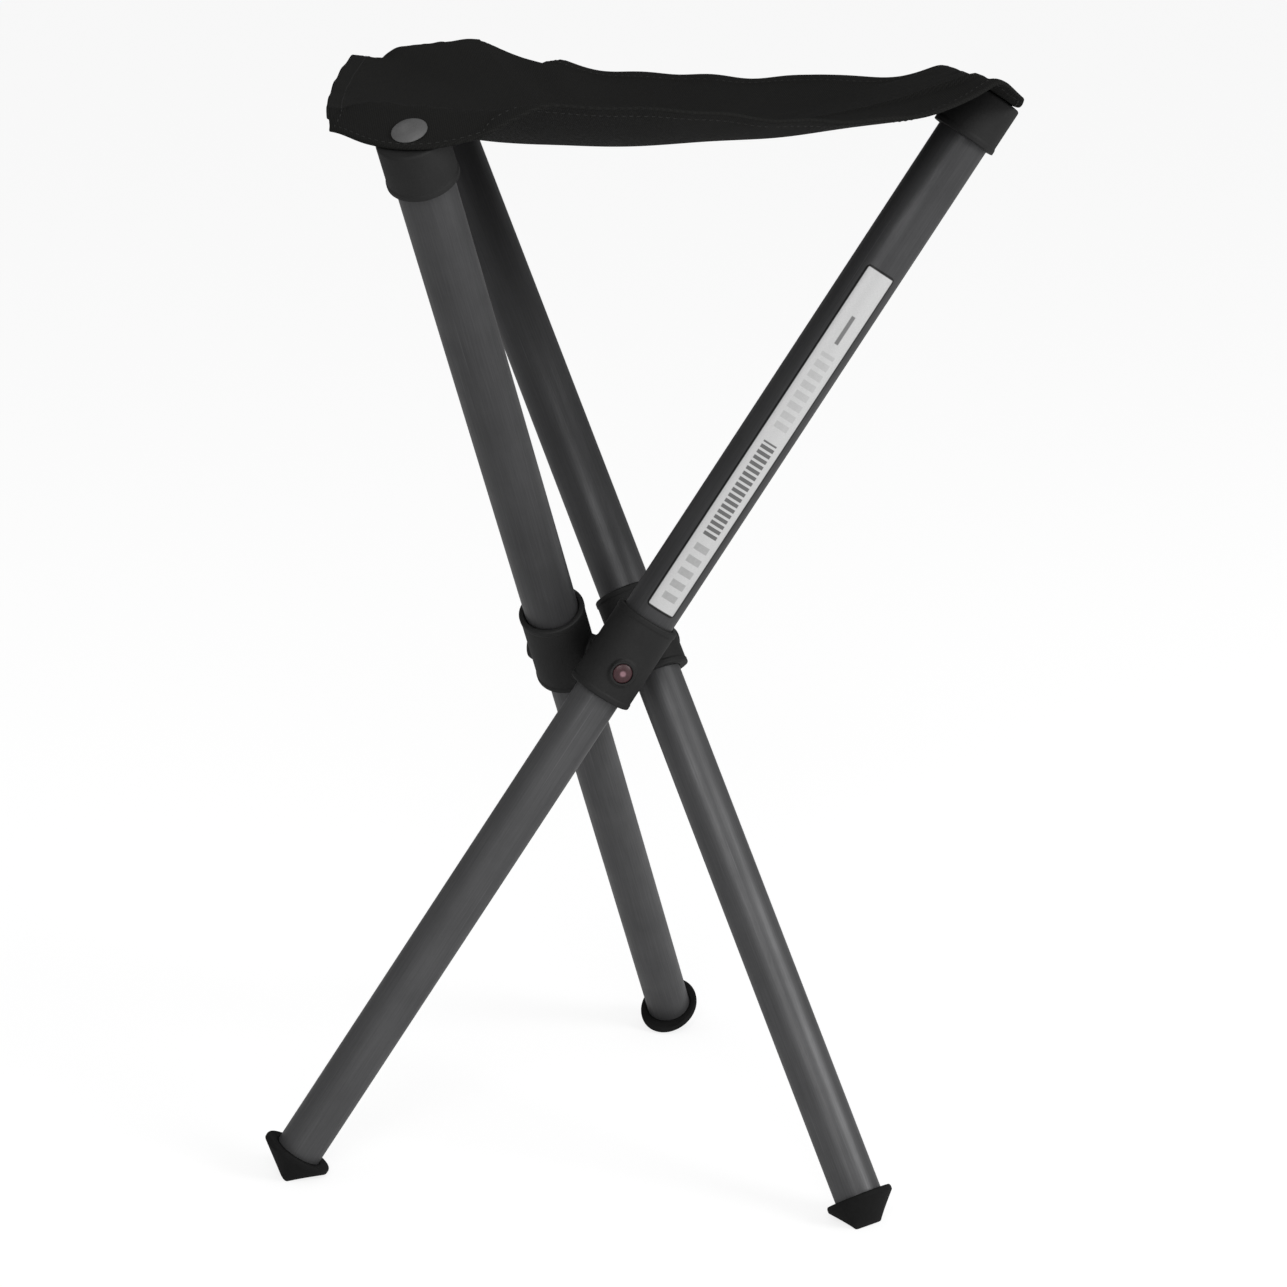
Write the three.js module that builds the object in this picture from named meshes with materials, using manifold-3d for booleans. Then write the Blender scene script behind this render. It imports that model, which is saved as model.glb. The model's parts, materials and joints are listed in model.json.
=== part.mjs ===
// Collapsible telescopic tripod stool: a cloth seat riveted to three two-stage tube legs that
// cross at a three-sided hub. Millimetres, +Z up. The origin is on the floor, under the middle
// of the stool's box. Heights along a leg are measured from its hinge, up the leg.
import * as THREE from "three";
import { mergeVertices } from "three/addons/utils/BufferGeometryUtils.js";
import Module from "manifold-3d";

const wasm = await Module();
wasm.setup();

// Fits and cutting
const clearance = 0.3; // between pieces that seat on each other or slide
const overrun = 4; // how far a cutting solid runs past what it cuts
const weldTolerance = 0.001;

// Facets round a circle, by the size of the feature
const tubeFacets = 32;
const smallFacets = 16;

// Stance of the legs
const legCount = 3;
const lean = THREE.MathUtils.degToRad(33.4); // of each open leg from upright
const firstLegBearing = THREE.MathUtils.degToRad(-90); // from +X to the first leg's hinge

const outerTube = { radius: 12.5, wall: 1.2, above: 302.5, below: 13 };
const innerTube = { wall: 1.2, above: 40, below: 273.6 };

const hub = { flatReach: 5.5, halfHeight: 8.4, cornerRadius: 0.8 };
const pivotRivet = { radius: 3, headRadius: 5, headThickness: 1.1, engagement: 2.6 };
const washer = { radius: 6.4, thickness: 0.5 };

const collar = {
  wall: 2.3,
  above: 26.8,
  endLip: 1.7, // thickness of the lip under the outer tube's end
  rimRise: 0.35,
  rimHeight: 2.4,
  edge: 0.5,
  pivotRadius: 8, // of the round boss that turns against the hub
  pivotRise: 1.1, // of that boss above the sleeve
  bossRadius: 6.5, // of the button's housing
  bossRise: 0.5,
};

const button = {
  radius: 4.5,
  crown: 0.85,
  proud: 0.15, // of the button's shoulder above the boss
  flangeRadius: 5.2,
  flangeThickness: 0.6,
  travel: 1.2,
};

const spring = {
  studRadius: 2.7,
  studCrown: 0.9,
  strip: 0.8,
  width: 7,
  above: 6,
  armLength: 40,
  bendRadius: 3,
  sideGap: 0.5, // of the strip's edges to the tube's bore
};

const bush = { boreRadius: 6, flangeThickness: 3, spigotLength: 12, runningGap: 0.15 };

const cap = {
  wall: 2.3,
  skirt: 16.5, // of the sleeve below the tube's end
  endWall: 6,
  edge: 1.2,
  spigotWall: 2.4,
  spigotLength: 10,
  rimRise: 0.4,
  rimHeight: 2.2,
};

const seatRivet = {
  radius: 3,
  headRadius: 7.6,
  headEdge: 0.5,
  headRise: 1.3,
  tailRadius: 4.6,
  tailThickness: 1.5,
};

// The flange and the wedge are ovals, wide along the hinge and deep along the leg's lean
const foot = {
  flangeHalfWidth: 14.4,
  flangeHalfDepth: 17,
  flangeThickness: 1.9,
  flangeEdge: 0.6,
  spigotLength: 25,
  spigotEdge: 1.5,
  tipLength: 11.5, // of the wedge below the flange
  tipShift: 0.7, // of the wedge's tip towards the floor side
  tipHalfWidth: 7.5,
  tipHalfDepth: 2.2,
  groundCut: 1.2, // worn flat above the wedge's lowest point
};

const seat = {
  thickness: 1.4,
  cornerHalfWidth: 33.6, // each corner is cut off square to its leg
  cornerOverhang: 1, // of the corner's tips past the cap's centre
  cornerBulge: 8,
  bellyDrop: 28.9, // from the cap's inner rim down to the middle
  edgeRise: 13.3, // of an even long edge's middle above the seat's middle
  evenBow: 5, // of an even long edge, outwards
  crestRound: 1.2, // softening where the cloth bends over a cap
  crestLift: 1.6,
  propRadius: 18, // of the round of each cap and tube that the cloth stays above
};

// Each corner's two tips stand above the cap's sloping end or hang below it, and the outer one,
// away from the stool's axis, may reach further along the lean or aside
const cornerTips = [
  { innerLift: -0.5, outerLift: 2.5, outerOverhang: 4.3, outerSpread: 0 },
  { innerLift: -5.4, outerLift: -20.6, outerOverhang: 0, outerSpread: -6 },
  { innerLift: 0.2, outerLift: 2, outerOverhang: -2.4, outerSpread: 2.8 },
];

// Each long edge runs from its own corner to the next: how far its middle bows outwards and
// lifts, and how much higher its first half stands than its second
const edgeShapes = [
  { bow: 2.3, lift: 4, tilt: 1.2 },
  { bow: 7.9, lift: 7.7, tilt: 2.8 },
  { bow: 13.3, lift: 4.8, tilt: 6.2 },
];

// How finely the cloth is divided, and where its rings lie between the middle, the bend over
// the caps and the hem
const cornerSteps = 8;
const edgeSteps = 8;
const bellyShares = [0.22, 0.42, 0.6, 0.76, 0.88, 0.95];
const lapShares = [0, 0.3, 0.62, 1];

// Sizes that follow from the ones above
const outerBore = outerTube.radius - outerTube.wall;
const innerRadius = outerBore - clearance;
const innerBore = innerRadius - innerTube.wall;
const sleeveBore = outerTube.radius + clearance;
const collarRadius = sleeveBore + collar.wall;
const collarBottom = -outerTube.below - clearance - collar.endLip;
const padReach = hub.flatReach + clearance + washer.thickness + clearance;
const hingeReach = padReach + collar.pivotRise + collarRadius; // from the stool's axis to a leg's
const padFace = padReach - hingeReach;
const rivetTipReach = hub.flatReach - pivotRivet.engagement;
const rivetHole = pivotRivet.radius + clearance;
const rivetHeadTop = hingeReach - sleeveBore;
const studHole = spring.studRadius + clearance;
const bossTop = collarRadius + collar.bossRise;
const capRadius = sleeveBore + cap.wall;
const capWallBottom = outerTube.above + clearance;
const capTop = capWallBottom + cap.endWall;
const clothBottom = capTop + clearance;
const clothTop = clothBottom + seat.thickness;
const seatRivetHole = seatRivet.radius + clearance;

// A closed solid from a geometry whose faces point outwards
function solidOf(geometry) {
  const bare = geometry.clone();
  bare.deleteAttribute("normal");
  bare.deleteAttribute("uv");
  const welded = mergeVertices(bare, weldTolerance);
  return new wasm.Manifold(
    new wasm.Mesh({
      numProp: 3,
      vertProperties: new Float32Array(welded.attributes.position.array),
      triVerts: new Uint32Array(welded.index.array),
    }),
  );
}

function geometryOf(solid) {
  const { vertProperties, triVerts } = solid.getMesh();
  const geometry = new THREE.BufferGeometry();
  geometry.setAttribute("position", new THREE.BufferAttribute(vertProperties, 3));
  geometry.setIndex(new THREE.BufferAttribute(triVerts, 1));
  const faceted = geometry.toNonIndexed();
  faceted.computeVertexNormals();
  return faceted;
}

// Profiles are [radius, height] pairs that run outwards along the bottom and back over the top
const disc = (radius, low, high) => [[0, low], [radius, low], [radius, high], [0, high]];

const ring = (bore, radius, low, high) => [
  [bore, low],
  [radius, low],
  [radius, high],
  [bore, high],
  [bore, low],
];

// Points of a shallow dome, from its edge to its top on the axis
function dome(radius, base, rise, steps) {
  const sphere = (radius * radius + rise * rise) / (2 * rise);
  const halfAngle = Math.asin(radius / sphere);
  return Array.from({ length: steps + 1 }, (_, i) => {
    const angle = halfAngle * (1 - i / steps);
    return [sphere * Math.sin(angle), base + rise - sphere * (1 - Math.cos(angle))];
  });
}

// A profile turned about Z, or about X for what points away from the stool's axis
function turned(profile, facets) {
  const points = profile.map(([radius, height]) => new THREE.Vector2(radius, height));
  return solidOf(new THREE.LatheGeometry(points, facets).rotateX(Math.PI / 2));
}

function turnedAlongX(profile, facets) {
  const points = profile.map(([radius, height]) => new THREE.Vector2(radius, height));
  const geometry = new THREE.LatheGeometry(points, facets);
  return solidOf(geometry.rotateX(Math.PI / 2).rotateY(Math.PI / 2));
}

// Rings of points, one above another, skinned and closed with a fan at each end
function loft(rings) {
  const size = rings[0].length;
  const points = rings.flat();
  const index = [];
  for (let level = 0; level + 1 < rings.length; level += 1) {
    for (let i = 0; i < size; i += 1) {
      const here = level * size + i;
      const next = level * size + ((i + 1) % size);
      index.push(here, next, next + size, here, next + size, here + size);
    }
  }
  const top = (rings.length - 1) * size;
  for (let i = 1; i + 1 < size; i += 1) {
    index.push(0, i + 1, i, top, top + i, top + i + 1);
  }
  const geometry = new THREE.BufferGeometry().setFromPoints(points);
  geometry.setIndex(index);
  return solidOf(geometry);
}

// Three-sided block that the legs hinge on, with a blind hole for a rivet in each flat
function hubCore() {
  const corner = 2 * hub.flatReach - 2 * hub.cornerRadius;
  const outline = new THREE.Shape();
  for (let k = 0; k < legCount; k += 1) {
    const bearing = firstLegBearing + Math.PI + (2 * Math.PI * k) / legCount;
    const spread = Math.PI / legCount;
    const centre = new THREE.Vector2(corner, 0).rotateAround(new THREE.Vector2(), bearing);
    outline.absarc(centre.x, centre.y, hub.cornerRadius, bearing - spread, bearing + spread);
  }
  const options = { depth: 2 * hub.halfHeight, bevelEnabled: false, curveSegments: 5 };
  const block = new THREE.ExtrudeGeometry(outline, options).translate(0, 0, -hub.halfHeight);
  let core = solidOf(block);
  const holeBottom = rivetTipReach - clearance;
  const holeProfile = disc(rivetHole, holeBottom, hub.flatReach + overrun);
  const hole = turnedAlongX(holeProfile, smallFacets);
  for (let k = 0; k < legCount; k += 1) {
    core = core.subtract(hole.rotate([0, 0, THREE.MathUtils.radToDeg(legBearing(k))]));
  }
  return core;
}

function pivotRivetSolid() {
  const headBottom = rivetHeadTop - pivotRivet.headThickness;
  const profile = [
    [0, rivetTipReach],
    [pivotRivet.radius, rivetTipReach],
    [pivotRivet.radius, headBottom],
    [pivotRivet.headRadius, headBottom],
    [pivotRivet.headRadius, rivetHeadTop],
    [0, rivetHeadTop],
  ];
  return turnedAlongX(profile, smallFacets);
}

function pivotWasherSolid() {
  const low = hub.flatReach + clearance;
  return turnedAlongX(ring(rivetHole, washer.radius, low, low + washer.thickness), smallFacets);
}

// Moulded sleeve round the foot end of the outer tube: pivot boss, rims, end lip and the
// housing of the button
function collarSolid() {
  const { edge, rimRise, rimHeight, above, bossRadius, pivotRadius } = collar;
  const rim = collarRadius + rimRise;
  const sleeve = turned(
    [
      [0, collarBottom],
      [rim - edge, collarBottom],
      [rim, collarBottom + edge],
      [rim, collarBottom + rimHeight],
      [collarRadius, collarBottom + rimHeight + rimRise],
      [collarRadius, above - rimHeight - rimRise],
      [rim, above - rimHeight],
      [rim, above - edge],
      [rim - edge, above],
      [0, above],
    ],
    tubeFacets,
  );
  const pivot = turnedAlongX(
    [
      [0, padFace],
      [pivotRadius - edge, padFace],
      [pivotRadius, padFace + edge],
      [pivotRadius, 0],
      [0, 0],
    ],
    tubeFacets,
  );
  const boss = turnedAlongX(
    [
      [0, 0],
      [bossRadius, 0],
      [bossRadius, bossTop - edge],
      [bossRadius - edge, bossTop],
      [0, bossTop],
    ],
    smallFacets,
  );
  const boreProfile = disc(sleeveBore, -outerTube.below - clearance, above + overrun);
  const lipProfile = disc(outerBore, collarBottom - overrun, 0);
  const headSeat = padFace + (rivetHeadTop - pivotRivet.headThickness - clearance - padReach);
  const recessProfile = disc(pivotRivet.headRadius + clearance, headSeat, 0);
  const pivotProfile = disc(rivetHole, padFace - overrun, 0);
  const lipBottom = buttonShoulder() + button.flangeThickness + clearance;
  const pocketProfile = disc(button.flangeRadius + clearance, 0, lipBottom);
  const windowProfile = disc(button.radius + clearance, 0, bossTop + overrun);
  return sleeve
    .add(pivot)
    .add(boss)
    .subtract(turned(boreProfile, tubeFacets))
    .subtract(turned(lipProfile, tubeFacets))
    .subtract(turnedAlongX(recessProfile, smallFacets))
    .subtract(turnedAlongX(pivotProfile, smallFacets))
    .subtract(turnedAlongX(pocketProfile, smallFacets))
    .subtract(turnedAlongX(windowProfile, smallFacets));
}

// Underside of the button's flange, which stops on the tube when the button is pressed home
function buttonShoulder() {
  return outerTube.radius + clearance + button.travel;
}

function lockButtonSolid() {
  const flangeTop = buttonShoulder() + button.flangeThickness;
  const crownBase = bossTop + button.proud;
  const profile = [
    [0, outerTube.radius],
    [spring.studRadius, outerTube.radius],
    [spring.studRadius, buttonShoulder()],
    [button.flangeRadius, buttonShoulder()],
    [button.flangeRadius, flangeTop],
    [button.radius, flangeTop],
    ...dome(button.radius, crownBase, button.crown, 4),
  ];
  return turnedAlongX(profile, smallFacets);
}

function outerTubeSolid() {
  const tube = turned(
    ring(outerBore, outerTube.radius, -outerTube.below, outerTube.above),
    tubeFacets,
  );
  return tube.subtract(turnedAlongX(disc(studHole, 0, outerTube.radius + overrun), smallFacets));
}

function innerTubeSolid() {
  const tube = turned(ring(innerBore, innerRadius, -innerTube.below, innerTube.above), tubeFacets);
  return tube.subtract(turnedAlongX(disc(studHole, 0, innerRadius + overrun), smallFacets));
}

// Plastic guide plugged into the top of the inner tube
function slideBushSolid() {
  const spigot = innerBore - clearance;
  const flangeBottom = innerTube.above + clearance;
  const flangeTop = flangeBottom + bush.flangeThickness;
  const spigotBottom = flangeBottom - bush.spigotLength;
  const flange = outerBore - bush.runningGap;
  const profile = [
    [bush.boreRadius, spigotBottom],
    [spigot, spigotBottom],
    [spigot, flangeBottom],
    [flange, flangeBottom],
    [flange, flangeTop],
    [bush.boreRadius, flangeTop],
    [bush.boreRadius, spigotBottom],
  ];
  return turned(profile, tubeFacets);
}

// Hairpin of spring strip inside the inner tube, with the stud that locks the leg's length
function lockSpringSolid() {
  const { strip, bendRadius: bend, above, armLength } = spring;
  const halfWidth = spring.width / 2;
  const tip = Math.sqrt((innerBore - spring.sideGap) ** 2 - halfWidth ** 2);
  const bendHeight = above - armLength;
  const outline = new THREE.Shape();
  outline.moveTo(tip, above);
  outline.lineTo(tip - strip, above);
  outline.lineTo(bend - strip / 2, bendHeight);
  outline.absarc(0, bendHeight, bend - strip / 2, 0, Math.PI, true);
  outline.lineTo(strip - tip, above);
  outline.lineTo(-tip, above);
  outline.lineTo(-bend - strip / 2, bendHeight);
  outline.absarc(0, bendHeight, bend + strip / 2, Math.PI, 2 * Math.PI, false);
  outline.closePath();
  const options = { depth: spring.width, bevelEnabled: false, curveSegments: 8 };
  const strap = new THREE.ExtrudeGeometry(outline, options);
  const studBase = tip - strip - (tip - bend) * (above / armLength);
  const studTop = outerTube.radius - clearance;
  const studProfile = [
    [0, studBase],
    [spring.studRadius, studBase],
    ...dome(spring.studRadius, studTop - spring.studCrown, spring.studCrown, 3),
  ];
  return solidOf(strap.translate(0, 0, -halfWidth).rotateX(Math.PI / 2)).add(
    turnedAlongX(studProfile, smallFacets),
  );
}

// Moulded plug and sleeve that closes the outer tube and carries a corner of the seat
function endCapSolid() {
  const spigotInside = innerRadius - cap.spigotWall;
  const spigotBottom = capWallBottom - cap.spigotLength;
  const skirtBottom = outerTube.above - cap.skirt;
  const rim = capRadius + cap.rimRise;
  const profile = [
    [seatRivetHole, capWallBottom],
    [spigotInside, capWallBottom],
    [spigotInside, spigotBottom],
    [innerRadius, spigotBottom],
    [innerRadius, capWallBottom],
    [sleeveBore, capWallBottom],
    [sleeveBore, skirtBottom],
    [rim, skirtBottom],
    [rim, skirtBottom + cap.rimHeight],
    [capRadius, skirtBottom + cap.rimHeight + cap.rimRise],
    [capRadius, capTop - cap.edge],
    [capRadius - cap.edge, capTop],
    [seatRivetHole, capTop],
    [seatRivetHole, capWallBottom],
  ];
  return turned(profile, tubeFacets);
}

function seatRivetSolid() {
  const tailTop = capWallBottom - clearance;
  const headBottom = clothTop + clearance;
  const profile = [
    [0, tailTop - seatRivet.tailThickness],
    [seatRivet.tailRadius, tailTop - seatRivet.tailThickness],
    [seatRivet.tailRadius, tailTop],
    [seatRivet.radius, tailTop],
    [seatRivet.radius, headBottom],
    [seatRivet.headRadius, headBottom],
    ...dome(seatRivet.headRadius, headBottom + seatRivet.headEdge, seatRivet.headRise, 4),
  ];
  return turned(profile, smallFacets);
}

// Rubber foot: plug, oval flange and a wedge cut level with the floor
function footSolid() {
  const flangeTop = -innerTube.below - clearance;
  const flangeBottom = flangeTop - foot.flangeThickness;
  const tipBottom = flangeBottom - foot.tipLength;
  const spigot = innerBore - clearance;
  const spigotTop = flangeTop + foot.spigotLength;
  const { flangeHalfWidth: width, flangeHalfDepth: depth, flangeEdge: edge, spigotEdge } = foot;
  const plug = turned(
    [
      [0, flangeBottom],
      [spigot, flangeBottom],
      [spigot, spigotTop - spigotEdge],
      [spigot - spigotEdge, spigotTop],
      [0, spigotTop],
    ],
    tubeFacets,
  );
  const oval = (halfWidth, halfDepth, shift, height) =>
    Array.from({ length: tubeFacets }, (_, i) => {
      const angle = (2 * Math.PI * i) / tubeFacets;
      const across = halfWidth * Math.cos(angle);
      return new THREE.Vector3(across, shift + halfDepth * Math.sin(angle), height);
    });
  const wedge = loft([
    oval(foot.tipHalfWidth, foot.tipHalfDepth, foot.tipShift, tipBottom),
    oval(width, depth, 0, flangeBottom),
    oval(width, depth, 0, flangeTop - edge),
    oval(width - edge, depth - edge, 0, flangeTop),
  ]);
  const tipReach = foot.tipShift + foot.tipHalfDepth;
  const lowest = tipBottom * Math.cos(lean) - tipReach * Math.sin(lean);
  const floor = lowest + foot.groundCut;
  const along = foot.tipShift * Math.cos(lean) + tipBottom * Math.sin(lean);
  const cutter = new THREE.BoxGeometry(2 * width, 2 * depth, foot.tipLength)
    .translate(0, along, floor - foot.tipLength / 2)
    .rotateX(lean);
  return plug.add(wedge).subtract(solidOf(cutter));
}

// Bearing of a leg's hinge axis round the stool
function legBearing(k) {
  return firstLegBearing + (2 * Math.PI * k) / legCount;
}

// Plan position seen from a leg: outwards along its hinge axis, and along its lean
function seenFromLeg(k, x, y) {
  const bearing = legBearing(k);
  return [
    x * Math.cos(bearing) + y * Math.sin(bearing),
    y * Math.cos(bearing) - x * Math.sin(bearing),
  ];
}

function fromLeg(k, outwards, along) {
  const bearing = legBearing(k);
  return [
    outwards * Math.cos(bearing) - along * Math.sin(bearing),
    outwards * Math.sin(bearing) + along * Math.cos(bearing),
  ];
}

const rimAlong = capTop * Math.sin(lean) - capRadius * Math.cos(lean);
const rimLevel = capTop * Math.cos(lean) + capRadius * Math.sin(lean);
const rimReach = Math.hypot(hingeReach, rimAlong);
const cornerBearing = Math.atan2(rimAlong, hingeReach);
const tipAlong = capTop * Math.sin(lean) + seat.cornerOverhang;

function softMinimum(a, b) {
  const least = Math.min(a, b);
  return least - seat.crestRound * Math.log1p(Math.exp(-Math.abs(a - b) / seat.crestRound));
}

// How far past a corner's half width its tips' lift still grows
const cornerShare = 1.2;

// Height of the cloth's underside: a three-cornered sling that hangs from the caps' inner rims,
// plus its edge's own lift, and bends over each rim to lie on the cap's sloping end
function clothHeight(x, y, edgeLift) {
  const rise = seat.bellyDrop + seat.crestLift;
  const edge = edgeReach() / rimReach;
  const cornered = (rise * edge ** 2 - seat.edgeRise) / (edge ** 2 + edge ** 3);
  const rounded = rise - cornered;
  const out = Math.hypot(x, y) / rimReach;
  const turn = Math.atan2(y, x) - legBearing(0) - cornerBearing;
  const wave = Math.cos(legCount * turn);
  const sling = rimLevel - seat.bellyDrop + rounded * out ** 2 + cornered * out ** 3 * wave;
  let height = sling + edgeLift;
  for (let k = 0; k < legCount; k += 1) {
    const [outwards, along] = seenFromLeg(k, x, y);
    const aside = outwards - hingeReach;
    const span = seat.cornerHalfWidth - capRadius;
    const beyond = THREE.MathUtils.clamp((Math.abs(aside) - capRadius) / span, 0, cornerShare);
    const face = (clothBottom - along * Math.sin(lean)) / Math.cos(lean);
    const tipLift = aside > 0 ? cornerTips[k].outerLift : cornerTips[k].innerLift;
    const half = Math.sqrt(Math.max(seat.propRadius ** 2 - aside ** 2, 0));
    const prop = (half + along * Math.cos(lean)) / Math.sin(lean);
    const propped = half > 0 ? Math.max(height, prop) : height;
    height = softMinimum(propped, face + tipLift * beyond ** 2);
  }
  return height;
}

// Distance from the stool's axis to the middle of an even long edge
function edgeReach() {
  const [ax, ay] = fromLeg(0, hingeReach - seat.cornerHalfWidth, tipAlong);
  const [bx, by] = fromLeg(1, hingeReach + seat.cornerHalfWidth, tipAlong);
  return Math.abs(ax * by - bx * ay) / Math.hypot(ax - bx, ay - by) + seat.evenBow;
}

// Plan place on the cut across a corner, from 1 at its outer tip to -1 at its inner tip
function cornerPlace(k, across) {
  const { outerOverhang, outerSpread } = cornerTips[k % legCount];
  const outer = Math.max(across, 0);
  const outwards = hingeReach + seat.cornerHalfWidth * across + outerSpread * outer ** 2;
  const along = tipAlong + seat.cornerBulge * (1 - across ** 2) + outerOverhang * outer ** 2;
  return fromLeg(k, outwards, along);
}

// The hem in plan, with each point's lift over the even sling: a bowed cut across each corner,
// and the long edges between
function hemOutline() {
  const hem = [];
  for (let k = 0; k < legCount; k += 1) {
    for (let i = 0; i <= cornerSteps; i += 1) {
      const [x, y] = cornerPlace(k, 1 - (2 * i) / cornerSteps);
      hem.push({ x, y, lift: 0 });
    }
    const [ax, ay] = cornerPlace(k, -1);
    const [bx, by] = cornerPlace(k + 1, 1);
    const length = Math.hypot(bx - ax, by - ay);
    const { bow, lift, tilt } = edgeShapes[k];
    for (let i = 1; i < edgeSteps; i += 1) {
      const share = i / edgeSteps;
      const out = (4 * bow * share * (1 - share)) / length;
      const x = ax + (bx - ax) * share + (by - ay) * out;
      const y = ay + (by - ay) * share - (bx - ax) * out;
      const middle = Math.sin(Math.PI * share) ** 2;
      hem.push({ x, y, lift: lift * middle + tilt * Math.sin(2 * Math.PI * share) });
    }
  }
  return hem;
}

// The cloth as a closed sheet: the hem outline drawn in towards the middle, ring by ring
function seatFabricSolid() {
  const hem = hemOutline();
  const bendShare = rimAlong / (tipAlong + seat.cornerBulge);
  const ringShares = [
    ...bellyShares.map((share) => share * bendShare),
    ...lapShares.map((share) => bendShare + share * (1 - bendShare)),
  ];
  const step = clearance;
  const underside = (x, y, lift) => new THREE.Vector3(x, y, clothHeight(x, y, lift));
  const topside = (x, y, lift) => {
    const slopeX = (clothHeight(x + step, y, lift) - clothHeight(x - step, y, lift)) / (2 * step);
    const slopeY = (clothHeight(x, y + step, lift) - clothHeight(x, y - step, lift)) / (2 * step);
    const normal = new THREE.Vector3(-slopeX, -slopeY, 1).normalize();
    return underside(x, y, lift).addScaledVector(normal, seat.thickness);
  };
  const size = hem.length;
  const points = [];
  for (const side of [underside, topside]) {
    points.push(side(0, 0, 0));
    for (const share of ringShares) {
      const ring = hem.map(({ x, y, lift }) => side(x * share, y * share, lift * share ** 3));
      points.push(...ring);
    }
  }
  const layer = 1 + ringShares.length * size;
  const index = [];
  const face = (a, b, c) => index.push(layer + a, layer + b, layer + c, a, c, b);
  for (let i = 0; i < size; i += 1) {
    const j = (i + 1) % size;
    face(0, 1 + i, 1 + j);
    for (let level = 0; level + 1 < ringShares.length; level += 1) {
      const inner = 1 + level * size;
      const outer = inner + size;
      face(inner + i, outer + i, outer + j);
      face(inner + i, outer + j, inner + j);
    }
    const rimRow = 1 + (ringShares.length - 1) * size;
    index.push(rimRow + i, rimRow + j, layer + rimRow + j);
    index.push(rimRow + i, layer + rimRow + j, layer + rimRow + i);
  }
  const sheet = new THREE.BufferGeometry().setFromPoints(points);
  sheet.setIndex(index);
  let cloth = solidOf(sheet);
  const hole = disc(seatRivetHole, clothBottom - overrun, clothTop + overrun);
  for (let k = 0; k < legCount; k += 1) {
    const leg = new THREE.Matrix4()
      .makeRotationZ(legBearing(k))
      .multiply(new THREE.Matrix4().makeTranslation(hingeReach, 0, 0))
      .multiply(new THREE.Matrix4().makeRotationX(-lean));
    const points2d = hole.map(([radius, height]) => new THREE.Vector2(radius, height));
    const drill = new THREE.LatheGeometry(points2d, smallFacets).rotateX(Math.PI / 2);
    cloth = cloth.subtract(solidOf(drill.applyMatrix4(leg)));
  }
  return cloth;
}

// Colour, roughness and metalness of each finish
const finishes = {
  upperTube: ["#4b4b4d", 0.42, 0.6],
  lowerTube: ["#57575a", 0.4, 0.6],
  moulding: ["#2a2a2b", 0.55, 0],
  cloth: ["#20201e", 0.95, 0],
  rubber: ["#1b1b1b", 0.8, 0],
  button: ["#5d2a2a", 0.45, 0],
  steel: ["#9a9c9f", 0.35, 0.9],
  bush: ["#c9c6bd", 0.5, 0],
};

function named(name, solid, finish) {
  const [color, roughness, metalness] = finishes[finish];
  const material = new THREE.MeshStandardMaterial({ color, roughness, metalness });
  const mesh = new THREE.Mesh(geometryOf(solid), material);
  mesh.name = name;
  return mesh;
}

const frame = new THREE.Group();
frame.add(named("hub_core", hubCore(), "moulding"));
frame.add(named("seat_fabric", seatFabricSolid(), "cloth"));

for (let k = 0; k < legCount; k += 1) {
  const number = k + 1;
  const hinge = new THREE.Group();
  hinge.rotation.z = legBearing(k);
  hinge.add(named(`pivot_rivet_${number}`, pivotRivetSolid(), "steel"));
  hinge.add(named(`pivot_washer_${number}`, pivotWasherSolid(), "bush"));

  const leg = new THREE.Group();
  leg.position.x = hingeReach;
  leg.rotation.x = -lean;
  leg.add(named(`collar_${number}`, collarSolid(), "moulding"));
  leg.add(named(`outer_tube_${number}`, outerTubeSolid(), "upperTube"));
  leg.add(named(`end_cap_${number}`, endCapSolid(), "moulding"));
  leg.add(named(`seat_rivet_${number}`, seatRivetSolid(), "steel"));
  leg.add(named(`lock_button_${number}`, lockButtonSolid(), "button"));
  leg.add(named(`inner_tube_${number}`, innerTubeSolid(), "lowerTube"));
  leg.add(named(`slide_bush_${number}`, slideBushSolid(), "bush"));
  leg.add(named(`lock_spring_${number}`, lockSpringSolid(), "steel"));
  leg.add(named(`foot_${number}`, footSolid(), "rubber"));
  hinge.add(leg);
  frame.add(hinge);
}

// The floor is under the feet, and the origin under the middle of the whole stool
const stool = new THREE.Group();
stool.add(frame);
stool.updateMatrixWorld(true);
const box = new THREE.Box3().setFromObject(stool, true);
const middle = box.getCenter(new THREE.Vector3());
frame.position.set(-middle.x, -middle.y, -box.min.z);

export default stool;
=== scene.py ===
import json
import math

import bmesh
import bpy
import numpy as np
from mathutils import Matrix


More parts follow.
